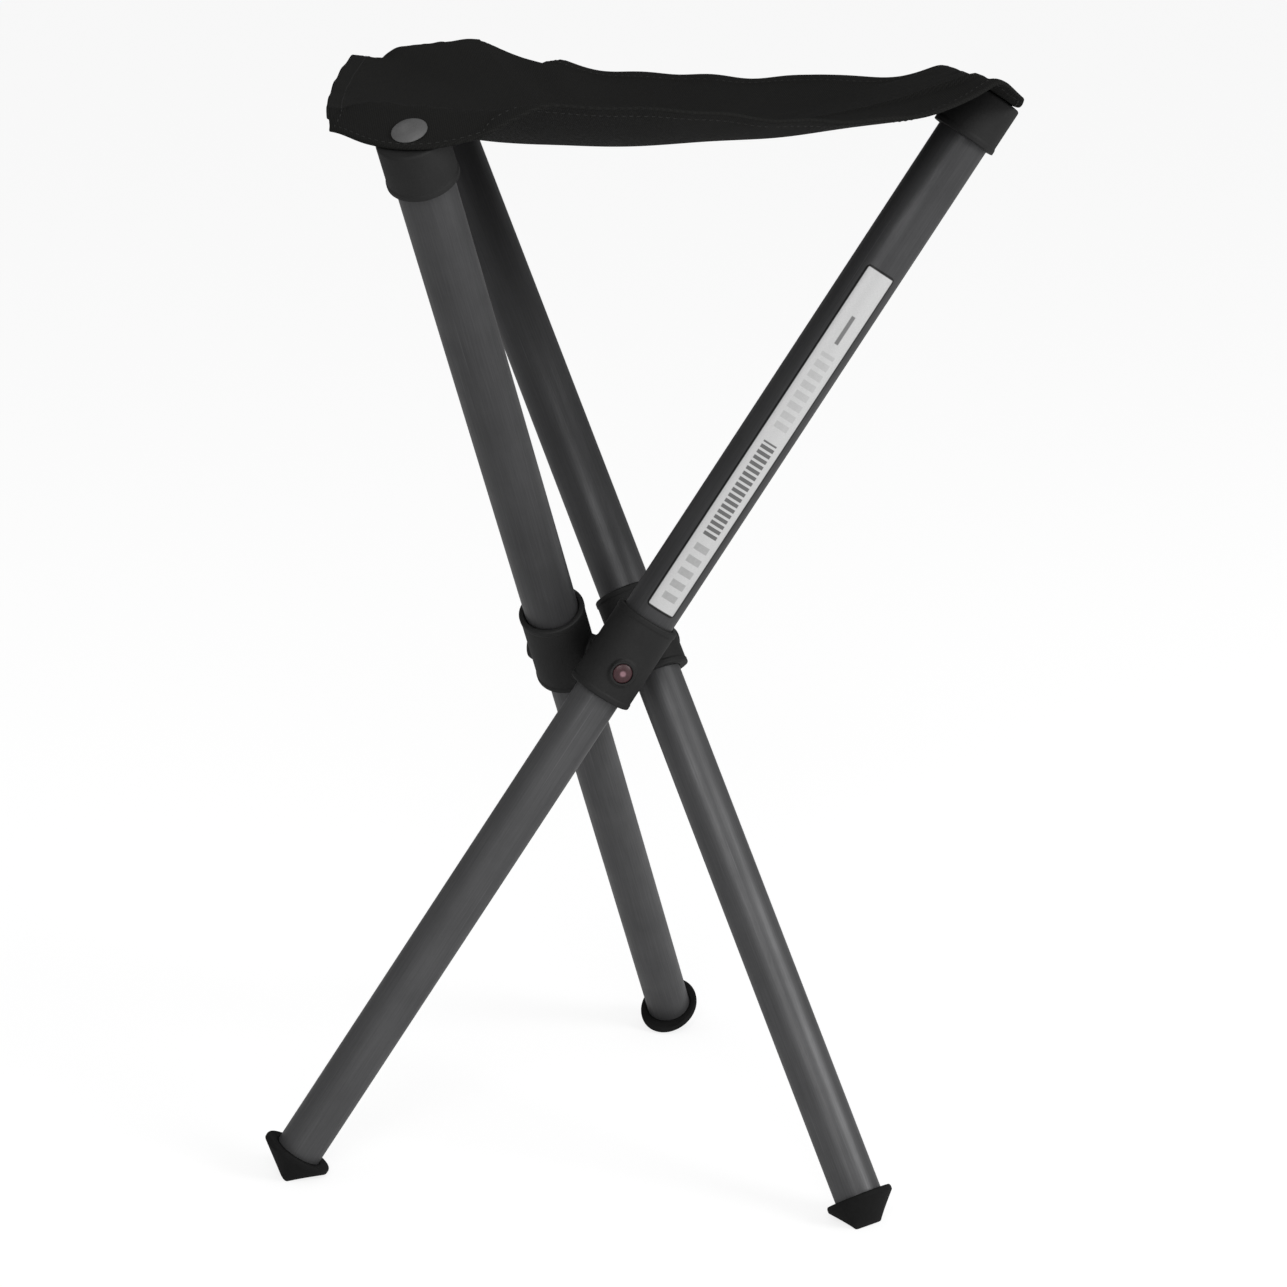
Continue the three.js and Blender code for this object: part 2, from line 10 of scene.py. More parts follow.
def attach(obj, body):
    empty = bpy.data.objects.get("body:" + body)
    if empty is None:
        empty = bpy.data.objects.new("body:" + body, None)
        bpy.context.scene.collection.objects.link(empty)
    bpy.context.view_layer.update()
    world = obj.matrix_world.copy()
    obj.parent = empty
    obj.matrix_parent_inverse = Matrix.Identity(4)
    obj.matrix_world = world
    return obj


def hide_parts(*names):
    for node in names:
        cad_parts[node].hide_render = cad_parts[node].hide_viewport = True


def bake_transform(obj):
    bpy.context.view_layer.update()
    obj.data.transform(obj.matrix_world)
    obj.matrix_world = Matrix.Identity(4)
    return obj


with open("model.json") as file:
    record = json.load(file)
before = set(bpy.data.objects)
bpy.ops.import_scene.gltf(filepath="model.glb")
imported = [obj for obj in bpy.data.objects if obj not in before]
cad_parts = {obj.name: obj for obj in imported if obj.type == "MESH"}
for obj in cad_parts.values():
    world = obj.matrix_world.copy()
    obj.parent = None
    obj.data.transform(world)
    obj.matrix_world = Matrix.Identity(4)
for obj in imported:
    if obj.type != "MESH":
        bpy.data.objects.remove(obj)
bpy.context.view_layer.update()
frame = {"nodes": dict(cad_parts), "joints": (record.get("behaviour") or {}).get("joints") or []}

bl_info = {
    "name": "Telescopic tripod stool",
    "version": (1, 0, 0),
    "blender": (4, 5, 0),
    "location": "View3D > Sidebar > Stool",
    "description": "Fine surfaces and finishes for a folding tripod stool with telescopic legs",
    "category": "Object",
}

MM = 0.001
LEGS = (1, 2, 3)
CLEARANCE = 0.3 * MM
MERGE_DISTANCE = 1e-7
CREASE = math.radians(38)

# Sides round a turned piece, by how large it shows, and points on a rounded edge
TUBE_SIDES = 96
SMALL_SIDES = 64
MOULDING_SIDES = 240
ROUND_STEPS = 5

# Edge roundings that several pieces share
CRISP = 0.1 * MM
FINE = 0.2 * MM
SOFT = 0.3 * MM
BROAD = 0.5 * MM


def linear(red, green, blue):
    """Linear colour of a display colour from 0 to 255, ((c / 255 + 0.055) / 1.055)^2.4."""
    shares = (np.array([red, green, blue]) / 255 + 0.055) / 1.055
    return tuple(float(share) for share in shares**2.4)


def unit(vector):
    """Vectors divided by their own lengths."""
    array = np.array(vector, float)
    return array / np.linalg.norm(array, axis=-1, keepdims=True)


# The legs' own frames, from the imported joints
joints = {joint["name"]: joint for joint in frame["joints"]}


def leg_axes(leg):
    """Rows are a leg's X, out along its hinge, its Y, across, and its Z, up the leg."""
    outwards = unit(joints[f"fold_{leg}"]["axis"])
    upwards = unit(joints[f"telescope_{leg}"]["axis"])
    return np.array([outwards, np.cross(upwards, outwards), upwards])


def leg_origin(leg):
    """The point on a leg's middle line at the height of its hinge."""
    return np.array(joints[f"fold_{leg}"]["pos_m"], float)


def from_leg(points, leg):
    """Places in the row frame of points given along a leg's axes from its origin."""
    return leg_origin(leg) + points @ leg_axes(leg)


def seen_from_leg(points, leg):
    """Points of the row frame as distances along a leg's axes from its origin."""
    return (points - leg_origin(leg)) @ leg_axes(leg).T


hub_centre = np.mean([leg_origin(leg) for leg in LEGS], axis=0)
hinge_reach = float(np.linalg.norm(leg_origin(1) - hub_centre))
lean = math.acos(float(leg_axes(1)[2, 2]))


def node_points(name):
    """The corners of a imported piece, in metres in the row frame."""
    mesh = frame["nodes"][name].data
    flat = np.empty(3 * len(mesh.vertices), np.float32)
    mesh.vertices.foreach_get("co", flat)
    return flat.reshape(-1, 3).astype(float)


def round_span(name):
    """Smallest and largest radius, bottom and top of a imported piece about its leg's middle line."""
    points = seen_from_leg(node_points(name), int(name[-1]))
    radius = np.hypot(points[:, 0], points[:, 1])
    return radius.min(), radius.max(), points[:, 2].min(), points[:, 2].max()


def outward_span(name):
    """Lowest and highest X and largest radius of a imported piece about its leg's hinge line."""
    points = seen_from_leg(node_points(name), int(name[-1]))
    return points[:, 0].min(), points[:, 0].max(), np.hypot(points[:, 1], points[:, 2]).max()


# Grids of points and their quads
def grid_steps(rows, columns, wrap_rows, wrap_columns):
    """Row and column of each quad's four corners, counted on past the end where a side wraps."""
    row_steps = rows if wrap_rows else rows - 1
    column_steps = columns if wrap_columns else columns - 1
    i, j = np.meshgrid(np.arange(row_steps), np.arange(column_steps), indexing="ij")
    row = np.stack([i, i, i + 1, i + 1], -1).reshape(-1, 4)
    column = np.stack([j, j + 1, j + 1, j], -1).reshape(-1, 4)
    return row, column


def shell(points, along, around, wrap_rows=False, wrap_columns=False):
    """Quads over a grid of points, with each row's and column's distance as the UV map."""
    rows, columns = points.shape[:2]
    row, column = grid_steps(rows, columns, wrap_rows, wrap_columns)
    corners = (row % rows) * columns + column % columns
    uv = np.stack([around[column], along[row]], -1)
    return points.reshape(-1, 3), corners, uv.reshape(-1, 2)


def distances(points, wrap):
    """Distance run along a line of points, from 0, with the closing step if it wraps."""
    ends = np.vstack([points, points[:1]]) if wrap else points
    steps = np.linalg.norm(np.diff(ends, axis=0), axis=1)
    return np.concatenate([[0.0], np.cumsum(steps)])


def rounded(corners, wrap=True):
    """A profile through corners (radius, height, rounding). Each corner is a curve
    (1-t)^2 a + 2t(1-t) c + t^2 b, where a and b lie on its two sides at the rounding's distance."""
    table = np.array(corners, float)
    middle = table[:, :-1]
    reach = table[:, -1:]
    before = np.roll(middle, 1, axis=0)
    after = np.roll(middle, -1, axis=0)
    if not wrap:
        before[0] = after[0]
        after[-1] = before[-1]
    first = middle + unit(before - middle) * reach
    last = middle + unit(after - middle) * reach
    t = np.linspace(0, 1, ROUND_STEPS)[None, :, None]
    curve = (
        (1 - t) ** 2 * first[:, None] + 2 * t * (1 - t) * middle[:, None] + t**2 * last[:, None]
    )
    return curve.reshape(len(curve) * ROUND_STEPS, -1)


def circle(sides):
    """Angles in even steps round a circle, without the closing one."""
    return np.arange(sides) * 2 * math.pi / sides


def girth(sides, radius):
    """Distance run round a circle at each of its sides, with the closing one."""
    return np.arange(sides + 1) * 2 * math.pi / sides * radius


def round_points(radius, height, angle):
    """Points (r cos a, r sin a, h) of rings whose radius and angle may change along them."""
    across = radius * np.cos(angle)
    return np.stack([across, radius * np.sin(angle), np.broadcast_to(height, across.shape)], -1)


def corner_drop(distance, radius):
    """How far a round corner falls back at a distance from its end, r - (r^2 - (r - d)^2)^0.5."""
    gap = np.clip(radius - distance, 0, None)
    return radius - np.sqrt(np.clip(radius**2 - gap**2, 0, None))


def turned(profile, sides, wrap=True, along_x=False):
    """A profile of radius and height carried round the leg's middle line, or round its hinge
    line when along_x is true."""
    points = round_points(profile[:, :1], profile[:, 1:], circle(sides))
    if along_x:
        points = points[..., [2, 0, 1]]
    around = girth(sides, profile[:, 0].max())
    return shell(points, distances(profile, wrap), around, wrap, True)


def joined(shells):
    """Several shells as one set of points, corners and UV places."""
    starts = np.cumsum([0] + [len(points) for points, _, _ in shells[:-1]])
    points = np.concatenate([points for points, _, _ in shells])
    corners = np.concatenate([c + start for (_, c, _), start in zip(shells, starts)])
    return points, corners, np.concatenate([uv for _, _, uv in shells])


def linked(name, data):
    """An object that shows the data, put in the scene."""
    made = bpy.data.objects.new(name, data)
    bpy.context.scene.collection.objects.link(made)
    return made


def new_object(name, shells, finish):
    """A mesh object from closed shells in the row frame: doubled points are merged, faces
    turned outwards, and edges sharper than the crease left hard."""
    points, corners, uv = joined(shells)
    mesh = bpy.data.meshes.new(name)
    mesh.vertices.add(len(points))
    mesh.vertices.foreach_set("co", points.astype(np.float32).ravel())
    mesh.loops.add(corners.size)
    mesh.loops.foreach_set("vertex_index", corners.astype(np.int32).ravel())
    mesh.polygons.add(len(corners))
    mesh.polygons.foreach_set("loop_start", np.arange(0, corners.size, 4, dtype=np.int32))
    mesh.uv_layers.new(name="wrap").data.foreach_set("uv", uv.astype(np.float32).ravel())
    mesh.update(calc_edges=True)
    shape = bmesh.new()
    shape.from_mesh(mesh)
    bmesh.ops.remove_doubles(shape, verts=shape.verts, dist=MERGE_DISTANCE)
    bmesh.ops.recalc_face_normals(shape, faces=shape.faces)
    shape.to_mesh(mesh)
    shape.free()
    mesh.shade_smooth()
    mesh.set_sharp_from_angle(angle=CREASE)
    mesh.materials.append(finish)
    return linked(name, mesh)


def leg_object(leg, name, shells, finish):
    """A mesh object from closed shells in a leg's own frame, put in the row frame."""
    placed = [(from_leg(points, leg), corners, uv) for points, corners, uv in shells]
    return new_object(name, placed, finish)


def add_leg_piece(leg, name, shells, finish, body, node):
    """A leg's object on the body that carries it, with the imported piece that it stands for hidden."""
    made = leg_object(leg, f"{name}_{leg}", shells, finish)
    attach(made, f"{body}_{leg}")
    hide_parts(f"{node}_{leg}")


def smooth_step(value, low, high):
    """0 below low, 1 above high, and 3t^2 - 2t^3 between."""
    t = np.clip((value - low) / (high - low), 0, 1)
    return t * t * (3 - 2 * t)


# Shader sums
class Value:
    """A node's output that sums can be written with. Each sum adds its own Math node."""

    def __init__(self, nodes, socket):
        self.nodes = nodes
        self.socket = socket

    def with_math(self, operation, *terms):
        """What a Math node of that operation makes of the terms."""
        sockets = dict(enumerate(terms))
        return self.nodes.node("ShaderNodeMath", {"operation": operation}, sockets)["Value"]

    def __add__(self, other):
        return self.with_math("ADD", self, other)

    __radd__ = __add__

    def __sub__(self, other):
        return self.with_math("SUBTRACT", self, other)

    def __rsub__(self, other):
        return self.with_math("SUBTRACT", other, self)

    def __mul__(self, other):
        return self.with_math("MULTIPLY", self, other)

    __rmul__ = __mul__

    def sine(self):
        """Its sine, in radians."""
        return self.with_math("SINE", self)

    def absolute(self):
        """Its distance from 0."""
        return self.with_math("ABSOLUTE", self)

    def at_most(self, other):
        """The lower of the two."""
        return self.with_math("MINIMUM", self, other)

    def at_least(self, other):
        """The higher of the two."""
        return self.with_math("MAXIMUM", self, other)

    def between(self, low, high):
        """0 at low and 1 at high, held outside them and smooth between them."""
        sockets = {"Value": self, "From Min": low, "From Max": high}
        smooth = {"interpolation_type": "SMOOTHSTEP"}
        return self.nodes.node("ShaderNodeMapRange", smooth, sockets)["Result"]


class Nodes:
    """A node tree, with one way to add a node to it."""

    def __init__(self, tree):
        self.tree = tree

    def node(self, kind, settings, sockets):
        """A node of that type, with its settings made first, and its outputs by name."""
        made = self.tree.nodes.new(kind)
        for key, value in settings.items():
            setattr(made, key, value)
        for key, value in sockets.items():
            self.feed(self.find(made, key), value)
        return {output.name: Value(self, output) for output in made.outputs if output.enabled}

    def find(self, made, key):
        """A node's input socket, by its number or by its name."""
        if isinstance(key, int):
            return made.inputs[key]
        return next(socket for socket in made.inputs if socket.enabled and socket.name == key)

    def feed(self, socket, value):
        """Link a socket to another node's output, or set its constant."""
        if isinstance(value, Value):
            self.tree.links.new(value.socket, socket)
        else:
            socket.default_value = value


class Finish(Nodes):
    """A material, and the nodes that its surface is worked out with."""

    def __init__(self, name, constants):
        self.material = bpy.data.materials.new(name)
        self.material.use_nodes = True
        super().__init__(self.material.node_tree)
        self.shader = self.tree.nodes["Principled BSDF"]
        for key, value in constants.items():
            self.feed(self.shader.inputs[key], value)

    def place(self):
        """Object coordinates, in metres."""
        return self.node("ShaderNodeTexCoord", {}, {})["Object"]

    def height(self):
        """Height over the floor, in metres."""
        return self.node("ShaderNodeSeparateXYZ", {}, {"Vector": self.place()})["Z"]

    def wrap(self):
        """Distance round the piece and distance along it, in metres."""
        place = self.node("ShaderNodeUVMap", {"uv_map": "wrap"}, {})["UV"]
        parts = self.node("ShaderNodeSeparateXYZ", {}, {"Vector": place})
        return parts["X"], parts["Y"]

    def noise(self, where, scale, detail=3.0, roughness=0.55):
        """Cloudy noise with so many patches per metre."""
        sockets = {"Vector": where, "Scale": scale, "Detail": detail, "Roughness": roughness}
        return self.node("ShaderNodeTexNoise", {}, sockets)["Fac"]

    def streaks(self, around, along, per_metre, detail, layer=0.0):
        """Noise drawn out one way, with so many patches per metre round the piece and along it."""
        sockets = {"X": around * per_metre[0], "Y": along * per_metre[1], "Z": layer}
        return self.noise(self.node("ShaderNodeCombineXYZ", {}, sockets)["Vector"], 1.0, detail)

    def cells(self, where, scale):
        """Distance from the nearest of many scattered points."""
        sockets = {"Vector": where, "Scale": scale}
        return self.node("ShaderNodeTexVoronoi", {}, sockets)["Distance"]

    def mixed(self, share, first, second):
        """The first colour at share 0, the second at share 1."""
        sockets = {"Factor": share, "A": first, "B": second}
        return self.node("ShaderNodeMix", {"data_type": "RGBA"}, sockets)["Result"]

    def tinted(self, colour, tone, dark, light):
        """A colour between dark and light times its own brightness, by a tone from 0 to 1."""
        return self.mixed(tone, shaded(colour, dark), shaded(colour, light))

    def finished(self, base, roughness, relief, depth, strength):
        """The material, with its colour, its roughness and the relief that its light shows."""
        sockets = {"Strength": strength, "Distance": depth, "Height": relief}
        normal = self.node("ShaderNodeBump", {}, sockets)["Normal"]
        for key, value in (("Base Color", base), ("Roughness", roughness), ("Normal", normal)):
            self.feed(self.shader.inputs[key], value)
        return self.material


# Where most noise lies, and so where a tone made of it goes from dark to light
NOISE_SPAN = (0.3, 0.7)


def shaded(colour, times):
    """A colour times a brightness, held at white."""
    return tuple(min(1.0, channel * times) for channel in colour[:3]) + (1.0,)


def tube_finish(name, colour):
    """Satin anodised tube: fine streaks along it, faint clouds, and thin bright rub lines."""
    finish = Finish(name, {"Metallic": 0.4, "Specular IOR Level": 0.3})
    wrap = finish.wrap()
    streaks = finish.streaks(*wrap, per_metre=(1400, 26), detail=4.0)
    fine = finish.streaks(*wrap, per_metre=(5200, 90), detail=2.0)
    clouds = finish.noise(finish.place(), scale=38.0)
    rubs = finish.streaks(*wrap, per_metre=(900, 11), detail=1.0, layer=3.7).between(0.71, 0.78)
    tone = (streaks * 0.45 + fine * 0.2 + clouds * 0.35).between(*NOISE_SPAN)
    base = finish.tinted(colour, tone, dark=0.84, light=1.16)
    base = finish.mixed(rubs * 0.22, base, shaded(colour, 2.4))
    roughness = 0.5 - tone * 0.1 - rubs * 0.08
    relief = streaks * 0.7 + fine * 0.3
    return finish.finished(base, roughness, relief, depth=0.05 * MM, strength=0.35)


def moulding_finish(name, colour):
    """Spark-textured moulded plastic: fine pits, soft clouds, and paler rubbed spots."""
    finish = Finish(name, {"Specular IOR Level": 0.3})
    place = finish.place()
    pits = finish.cells(place, scale=1900.0)
    grain = finish.noise(place, scale=900.0)
    clouds = finish.noise(place, scale=60.0, detail=4.0, roughness=0.6)
    rubbed = finish.noise(place, scale=170.0, detail=5.0, roughness=0.7).between(0.6, 0.78)
    tone = (clouds * 0.6 + grain * 0.4).between(*NOISE_SPAN)
    base = finish.tinted(colour, tone, dark=0.82, light=1.2)
    base = finish.mixed(rubbed * 0.3, base, shaded(colour, 2.0))
    roughness = 0.6 + grain * 0.12 - rubbed * 0.12
    relief = pits * 0.6 + grain * 0.4
    return finish.finished(base, roughness, relief, depth=0.12 * MM, strength=0.5)


def cloth_finish(name, colour, pitch):
    """Heavy plain weave: threads that pass over and under each other, with painted shade between them
    and paler crowns, slubs and lint.
    """
    finish = Finish(name, {"Specular IOR Level": 0.12})
    across, along = finish.wrap()
    place = finish.place()
    wander = finish.noise(place, scale=55.0, detail=2.0) * 0.9
    warp = (across * (math.pi / pitch) + wander).sine()
    weft = (along * (math.pi / pitch) + wander).sine()
    crossing = warp * weft * 0.45
    threads = (warp.absolute() * (crossing + 0.55)).at_least(weft.absolute() * (0.55 - crossing))
    slubs = finish.streaks(across, along, per_metre=(260, 1500), detail=2.0)
    lint = finish.noise(place, scale=420.0, detail=4.0, roughness=0.65).between(0.62, 0.8)
    worn = finish.noise(place, scale=14.0, detail=4.0, roughness=0.6)
    # The threads' part of the tone is painted shade and highlight: darker between the threads and
    # paler on their crowns, as their height goes. The slubs and worn patches are the cloth's own tone
    tone = (threads * 0.55 + slubs * 0.2 + worn * 0.25).between(0.15, 0.85)
    base = finish.tinted(colour, tone, dark=0.62, light=1.3)
    base = finish.mixed(lint * 0.35, base, shaded(colour, 2.2))
    relief = threads + slubs * 0.3
    return finish.finished(base, 0.98 - threads * 0.14, relief, depth=0.22 * MM, strength=0.6)


# Turn of a thread's plies, in radians per metre round a stitch and along it
PLY_TURNS = (5200, 9000)


def thread_finish(name, colour):
    """Twisted sewing thread: slanting plies, whose tone is sin(a + b) of round and along, painted
    shade in the grooves between the plies and paler crowns.
    """
    finish = Finish(name, {"Specular IOR Level": 0.35})
    around, along = finish.wrap()
    plies = (around * PLY_TURNS[0] + along * PLY_TURNS[1]).sine() * 0.5 + 0.5
    # Painted shade and highlight: the plies' tone is darker in their grooves and paler on their
    # crowns
    base = finish.tinted(colour, plies, dark=0.7, light=1.35)
    return finish.finished(base, 0.7 - plies * 0.12, plies, depth=0.08 * MM, strength=0.6)


def rubber_finish(name, colour, dust_height):
    """Matt rubber: fine mottling, and pale dust that thickens towards the floor."""
    finish = Finish(name, {"Specular IOR Level": 0.2})
    place = finish.place()
    mottle = finish.noise(place, scale=320.0, detail=5.0, roughness=0.65)
    scuffs = finish.noise(place, scale=90.0, detail=5.0, roughness=0.7)
    low = 1 - finish.height().between(0.0, dust_height)
    dust = (low * 0.55 + scuffs * 0.45).between(0.5, 0.95)
    base = finish.tinted(colour, mottle.between(*NOISE_SPAN), dark=0.8, light=1.25)
    base = finish.mixed(dust * 0.4, base, shaded(colour, 3.4))
    relief = mottle * 0.6 + scuffs * 0.4
    return finish.finished(base, 0.72 + mottle * 0.18, relief, depth=0.15 * MM, strength=0.5)


def button_finish(name, colour, highlight_colour, radius):
    """Glossy moulded button, with a painted highlight: a paler colour in its middle that stands in
    for the glint of light on its dome.
    """
    finish = Finish(name, {"Specular IOR Level": 0.5})
    _, along = finish.wrap()
    speckle = finish.noise(finish.place(), scale=800.0, detail=4.0)
    # Painted highlight: its share is 1 in the button's middle and fades out by a share of its radius
    middle = 1 - along.between(0.18 * radius, 0.42 * radius)
    worn = (middle * (0.75 + speckle * 0.5)).at_most(1.0)
    base = finish.tinted(colour, speckle.between(*NOISE_SPAN), dark=0.85, light=1.15)
    # The painted highlight's pale colour, laid over the middle
    base = finish.mixed(worn, base, shaded(highlight_colour, 1))
    return finish.finished(base, 0.34 + speckle * 0.14, speckle, depth=0.05 * MM, strength=0.3)


def metal_finish(name, colour, metallic, roughness):
    """Plated or painted metal: fine grain, faint clouds and small nicks."""
    finish = Finish(name, {"Metallic": metallic})
    place = finish.place()
    grain = finish.noise(place, scale=1500.0, detail=2.0)
    clouds = finish.noise(place, scale=120.0, detail=4.0, roughness=0.6)
    nicks = finish.cells(place, scale=420.0).between(0.05, 0.12)
    tone = (grain * 0.4 + clouds * 0.6).between(*NOISE_SPAN)
    base = finish.tinted(colour, tone, dark=0.86, light=1.14)
    base = finish.mixed((1 - nicks) * 0.3, base, shaded(colour, 1.7))
    relief = grain * 0.5 + nicks * 0.5
    return finish.finished(
        base, roughness - 0.06 + clouds * 0.14, relief, depth=0.05 * MM, strength=0.35
    )


# The label's print, as shares of its width and of its length: a field and a rim between two
# shares, a dash by both, and rows of bars by step, inked share of a step, start and end
FIELD_SHARES = (0.28, 0.72)
RIM_SHARES = ((0.067, 0.933), (0.006, 0.994))
DASH_SHARES = ((0.44, 0.56), (0.79, 0.87))
BLOCK_SHARES = (0.036, 0.52, 0.035, 0.2)
TICK_SHARES = (0.016, 0.6, 0.22, 0.5)
LINE_SHARES = (0.03, 0.6, 0.54, 0.76)
PRINT_BLUR = 0.25 * MM
WAVE_BLUR = 0.1


def label_finish(name, colour, width, length):
    """Printed film: a pale field with a dark rim, plain grey blocks and a row of plain ticks,
    all of them bars whose edges are set as distances across and along the strip."""
    finish = Finish(name, {"Metallic": 0.25, "Specular IOR Level": 0.5})
    across, along = finish.wrap()
    grain = finish.streaks(across, along, per_metre=(900, 4000), detail=3.0)
    mottle = finish.noise(finish.place(), scale=700.0)

    def bar(distance, low, high):
        """1 between two distances and 0 outside them."""
        start = distance.between(low - PRINT_BLUR, low + PRINT_BLUR)
        return start * (1 - distance.between(high - PRINT_BLUR, high + PRINT_BLUR))

    def box(across_shares, along_shares):
        """1 between shares of the width and of the length."""
        wide = bar(across, across_shares[0] * width, across_shares[1] * width)
        return wide * bar(along, along_shares[0] * length, along_shares[1] * length)

    def bars(step, ink, low, high):
        """Bars along the strip, where the sine of its distance over the step is above cos of
        the inked share of half a turn."""
        wave = (along * (2 * math.pi / (step * length))).sine()
        level = math.cos(math.pi * ink)
        inked = wave.between(level - WAVE_BLUR, level + WAVE_BLUR)
        return inked * bar(along, low * length, high * length)

    field = bar(across, FIELD_SHARES[0] * width, FIELD_SHARES[1] * width)
    pale = field * (bars(*BLOCK_SHARES) * 0.5 + bars(*LINE_SHARES) * 0.25) * (0.7 + mottle * 0.5)
    strong = (field * bars(*TICK_SHARES) * 0.85 + box(*DASH_SHARES) * 0.75).at_most(1.0)
    film = finish.tinted(colour, grain.between(*NOISE_SPAN), dark=0.93, light=1.05)
    print_colour = finish.mixed(pale.at_most(1.0), film, shaded(colour, 0.34))
    print_colour = finish.mixed(strong, print_colour, shaded(colour, 0.1))
    base = finish.mixed(box(*RIM_SHARES), shaded(colour, 0.012), print_colour)
    relief = grain * 0.4 + strong * 0.3
    return finish.finished(base, 0.4 + grain * 0.12, relief, depth=0.04 * MM, strength=0.3)


# Sizes and colours that a user would change
def length_choice(name, description, default, low, high):
    """A length in metres between two limits."""
    return bpy.props.FloatProperty(
        name=name, description=description, default=default, min=low, max=high, unit="LENGTH"
    )


def colour_choice(name, description, red, green, blue):
    """A colour, whose default is given as a display colour."""
    return bpy.props.FloatVectorProperty(
        name=name, description=description, default=linear(red, green, blue),
        size=3, min=0, max=1, subtype="COLOR",
    )


class StoolSizes(bpy.types.PropertyGroup):
    """Sizes of the finished surfaces"""

    edge_round: length_choice(
        "Edge rounding", "Rounding of the mouldings' outer edges", 0.9 * MM, 0.1 * MM, 1.5 * MM
    )
    weave_pitch: length_choice(
        "Weave pitch", "Distance between threads of the seat cloth", 0.85 * MM, 0.3 * MM, 3 * MM
    )
    hem_width: length_choice(
        "Hem width", "Width of the folded hem on the long edges", 8 * MM, 3 * MM, 15 * MM
    )
    stitch_pitch: length_choice(
        "Stitch pitch", "Distance from one stitch to the next", 3.4 * MM, 1.5 * MM, 8 * MM
    )
    label_width: length_choice(
        "Label width", "Width of the strip, round the tube", 15.8 * MM, 4 * MM, 25 * MM
    )


class StoolColours(bpy.types.PropertyGroup):
    """Colours of the finished surfaces"""

    upper_tube: colour_choice("Upper tubes", "Colour of the upper leg tubes", 71, 71, 72)
    lower_tube: colour_choice("Lower tubes", "Colour of the lower leg tubes", 84, 84, 85)
    moulding: colour_choice("Mouldings", "Colour of the collars, caps and hub", 30, 30, 30)
    cloth: colour_choice("Cloth", "Colour of the seat cloth", 26, 26, 25)
    thread: colour_choice("Thread", "Colour of the hem's stitches", 36, 36, 35)
    rubber: colour_choice("Feet", "Colour of the rubber feet", 19, 19, 19)
    button: colour_choice("Buttons", "Colour of the lock buttons", 62, 34, 38)
    # Painted highlight: a pale colour in each button's middle that stands in for the glint of light
    # on its dome
    button_highlight: colour_choice("Painted highlight", "Colour of a button's painted highlight in the middle", 138, 104, 112)
    label: colour_choice("Label", "Colour of the strip on the first leg", 205, 205, 205)
    rivet: colour_choice("Seat rivets", "Colour of the seat rivets' paint", 96, 96, 96)
    steel: colour_choice("Steel", "Colour of the hinge rivets and springs", 154, 156, 159)
    guide: colour_choice("Guides", "Colour of the washers and slide bushes", 201, 198, 189)


def choices(context):
    """The sizes and the colours that are chosen in the scene."""
    return context.scene.stool_sizes, context.scene.stool_colours


def finish_once(name, make, *terms, **more):
    """The material of that name, made on first use, so that like pieces share it."""
    return bpy.data.materials.get(name) or make(name, *terms, **more)


# Seat corners: three values are for the three legs
CORNER_HALF_WIDTH = 33.6 * MM
CORNER_OVERHANG = 1.0 * MM
CORNER_BULGE = 8.0 * MM
CREST_LIFT = 1.6 * MM
CREST_ROUND = 1.2 * MM
PROP_RADIUS = 18.0 * MM
TIP_SHARE = 1.2
INNER_TIP_LIFTS = np.array([-0.5, -7.5, 0.2]) * MM
OUTER_TIP_LIFTS = np.array([2.5, -21.5, 2.0]) * MM
OUTER_TIP_OVERHANGS = np.array([4.3, 0.0, -2.4]) * MM
OUTER_TIP_SPREADS = np.array([0.0, -6.0, 2.8]) * MM
OUTER_EAR_DROOPS = np.array([0.0, 0.0, 4.0]) * MM
EAR_SHARE = 1.1
EAR_POWER = 4
EAR_SPAN = (100 * MM, 140 * MM)

# Belly and long edges: three values are for the edges after the three legs
BELLY_DROP = 28.9 * MM
EDGE_RISE = 13.3 * MM
EVEN_BOW = 5.0 * MM
EDGE_BOWS = np.array([2.3, 7.9, 13.3]) * MM
EDGE_LIFTS = np.array([4.0, 7.7, 4.8]) * MM
EDGE_TILTS = np.array([1.2, 2.8, 6.2]) * MM
EDGE_END_DROPS = np.array([0.0, 0.0, 5.0]) * MM
END_DROP_SHARES = (0.65, 0.93)
HEM_RIPPLE = 0.6 * MM
HEM_RIPPLES = 13
LIFT_POWER = 3
RIPPLE_POWER = 9

# Slack places along the edge after the first leg: their middles, half widths and depths
FAR_EDGE = 0
DIP_SHARES = np.array([0.14, 0.73, 0.93])
DIP_WIDTH_SHARES = np.array([0.16, 0.15, 0.12])
DIP_DEPTHS = np.array([4.0, 3.5, 4.0]) * MM

# Cloth and hem: the step's pair is how far it reaches inside and outside the hem's width
CLOTH_THICKNESS = 1.4 * MM
EDGE_FALL = 1.1 * MM
HEM_EXTRA = 0.5 * MM
HEM_STEP = (0.5 * MM, 0.3 * MM)
HEM_GROOVE = 0.25 * MM
HEM_GROOVE_WIDTH = 0.6 * MM
STITCH_MARGIN = 2 * MM
CORNER_HEM_SHARE = 0.5

# Rows and columns of the cloth, and the step that its slopes are measured over
CORNER_COLUMNS = 48
HALF_EDGE_COLUMNS = 44
BELLY_ROWS = 56
ROUND_EDGE_INSETS = np.array([0, 0.06, 0.2, 0.42, 0.7, 1.1, 1.7, 2.4]) * MM
HEM_FIRST_INSET = 3.2 * MM
HEM_PAST = 4 * MM
HEM_ROWS = 12
SLOPE_STEP = 0.3 * MM

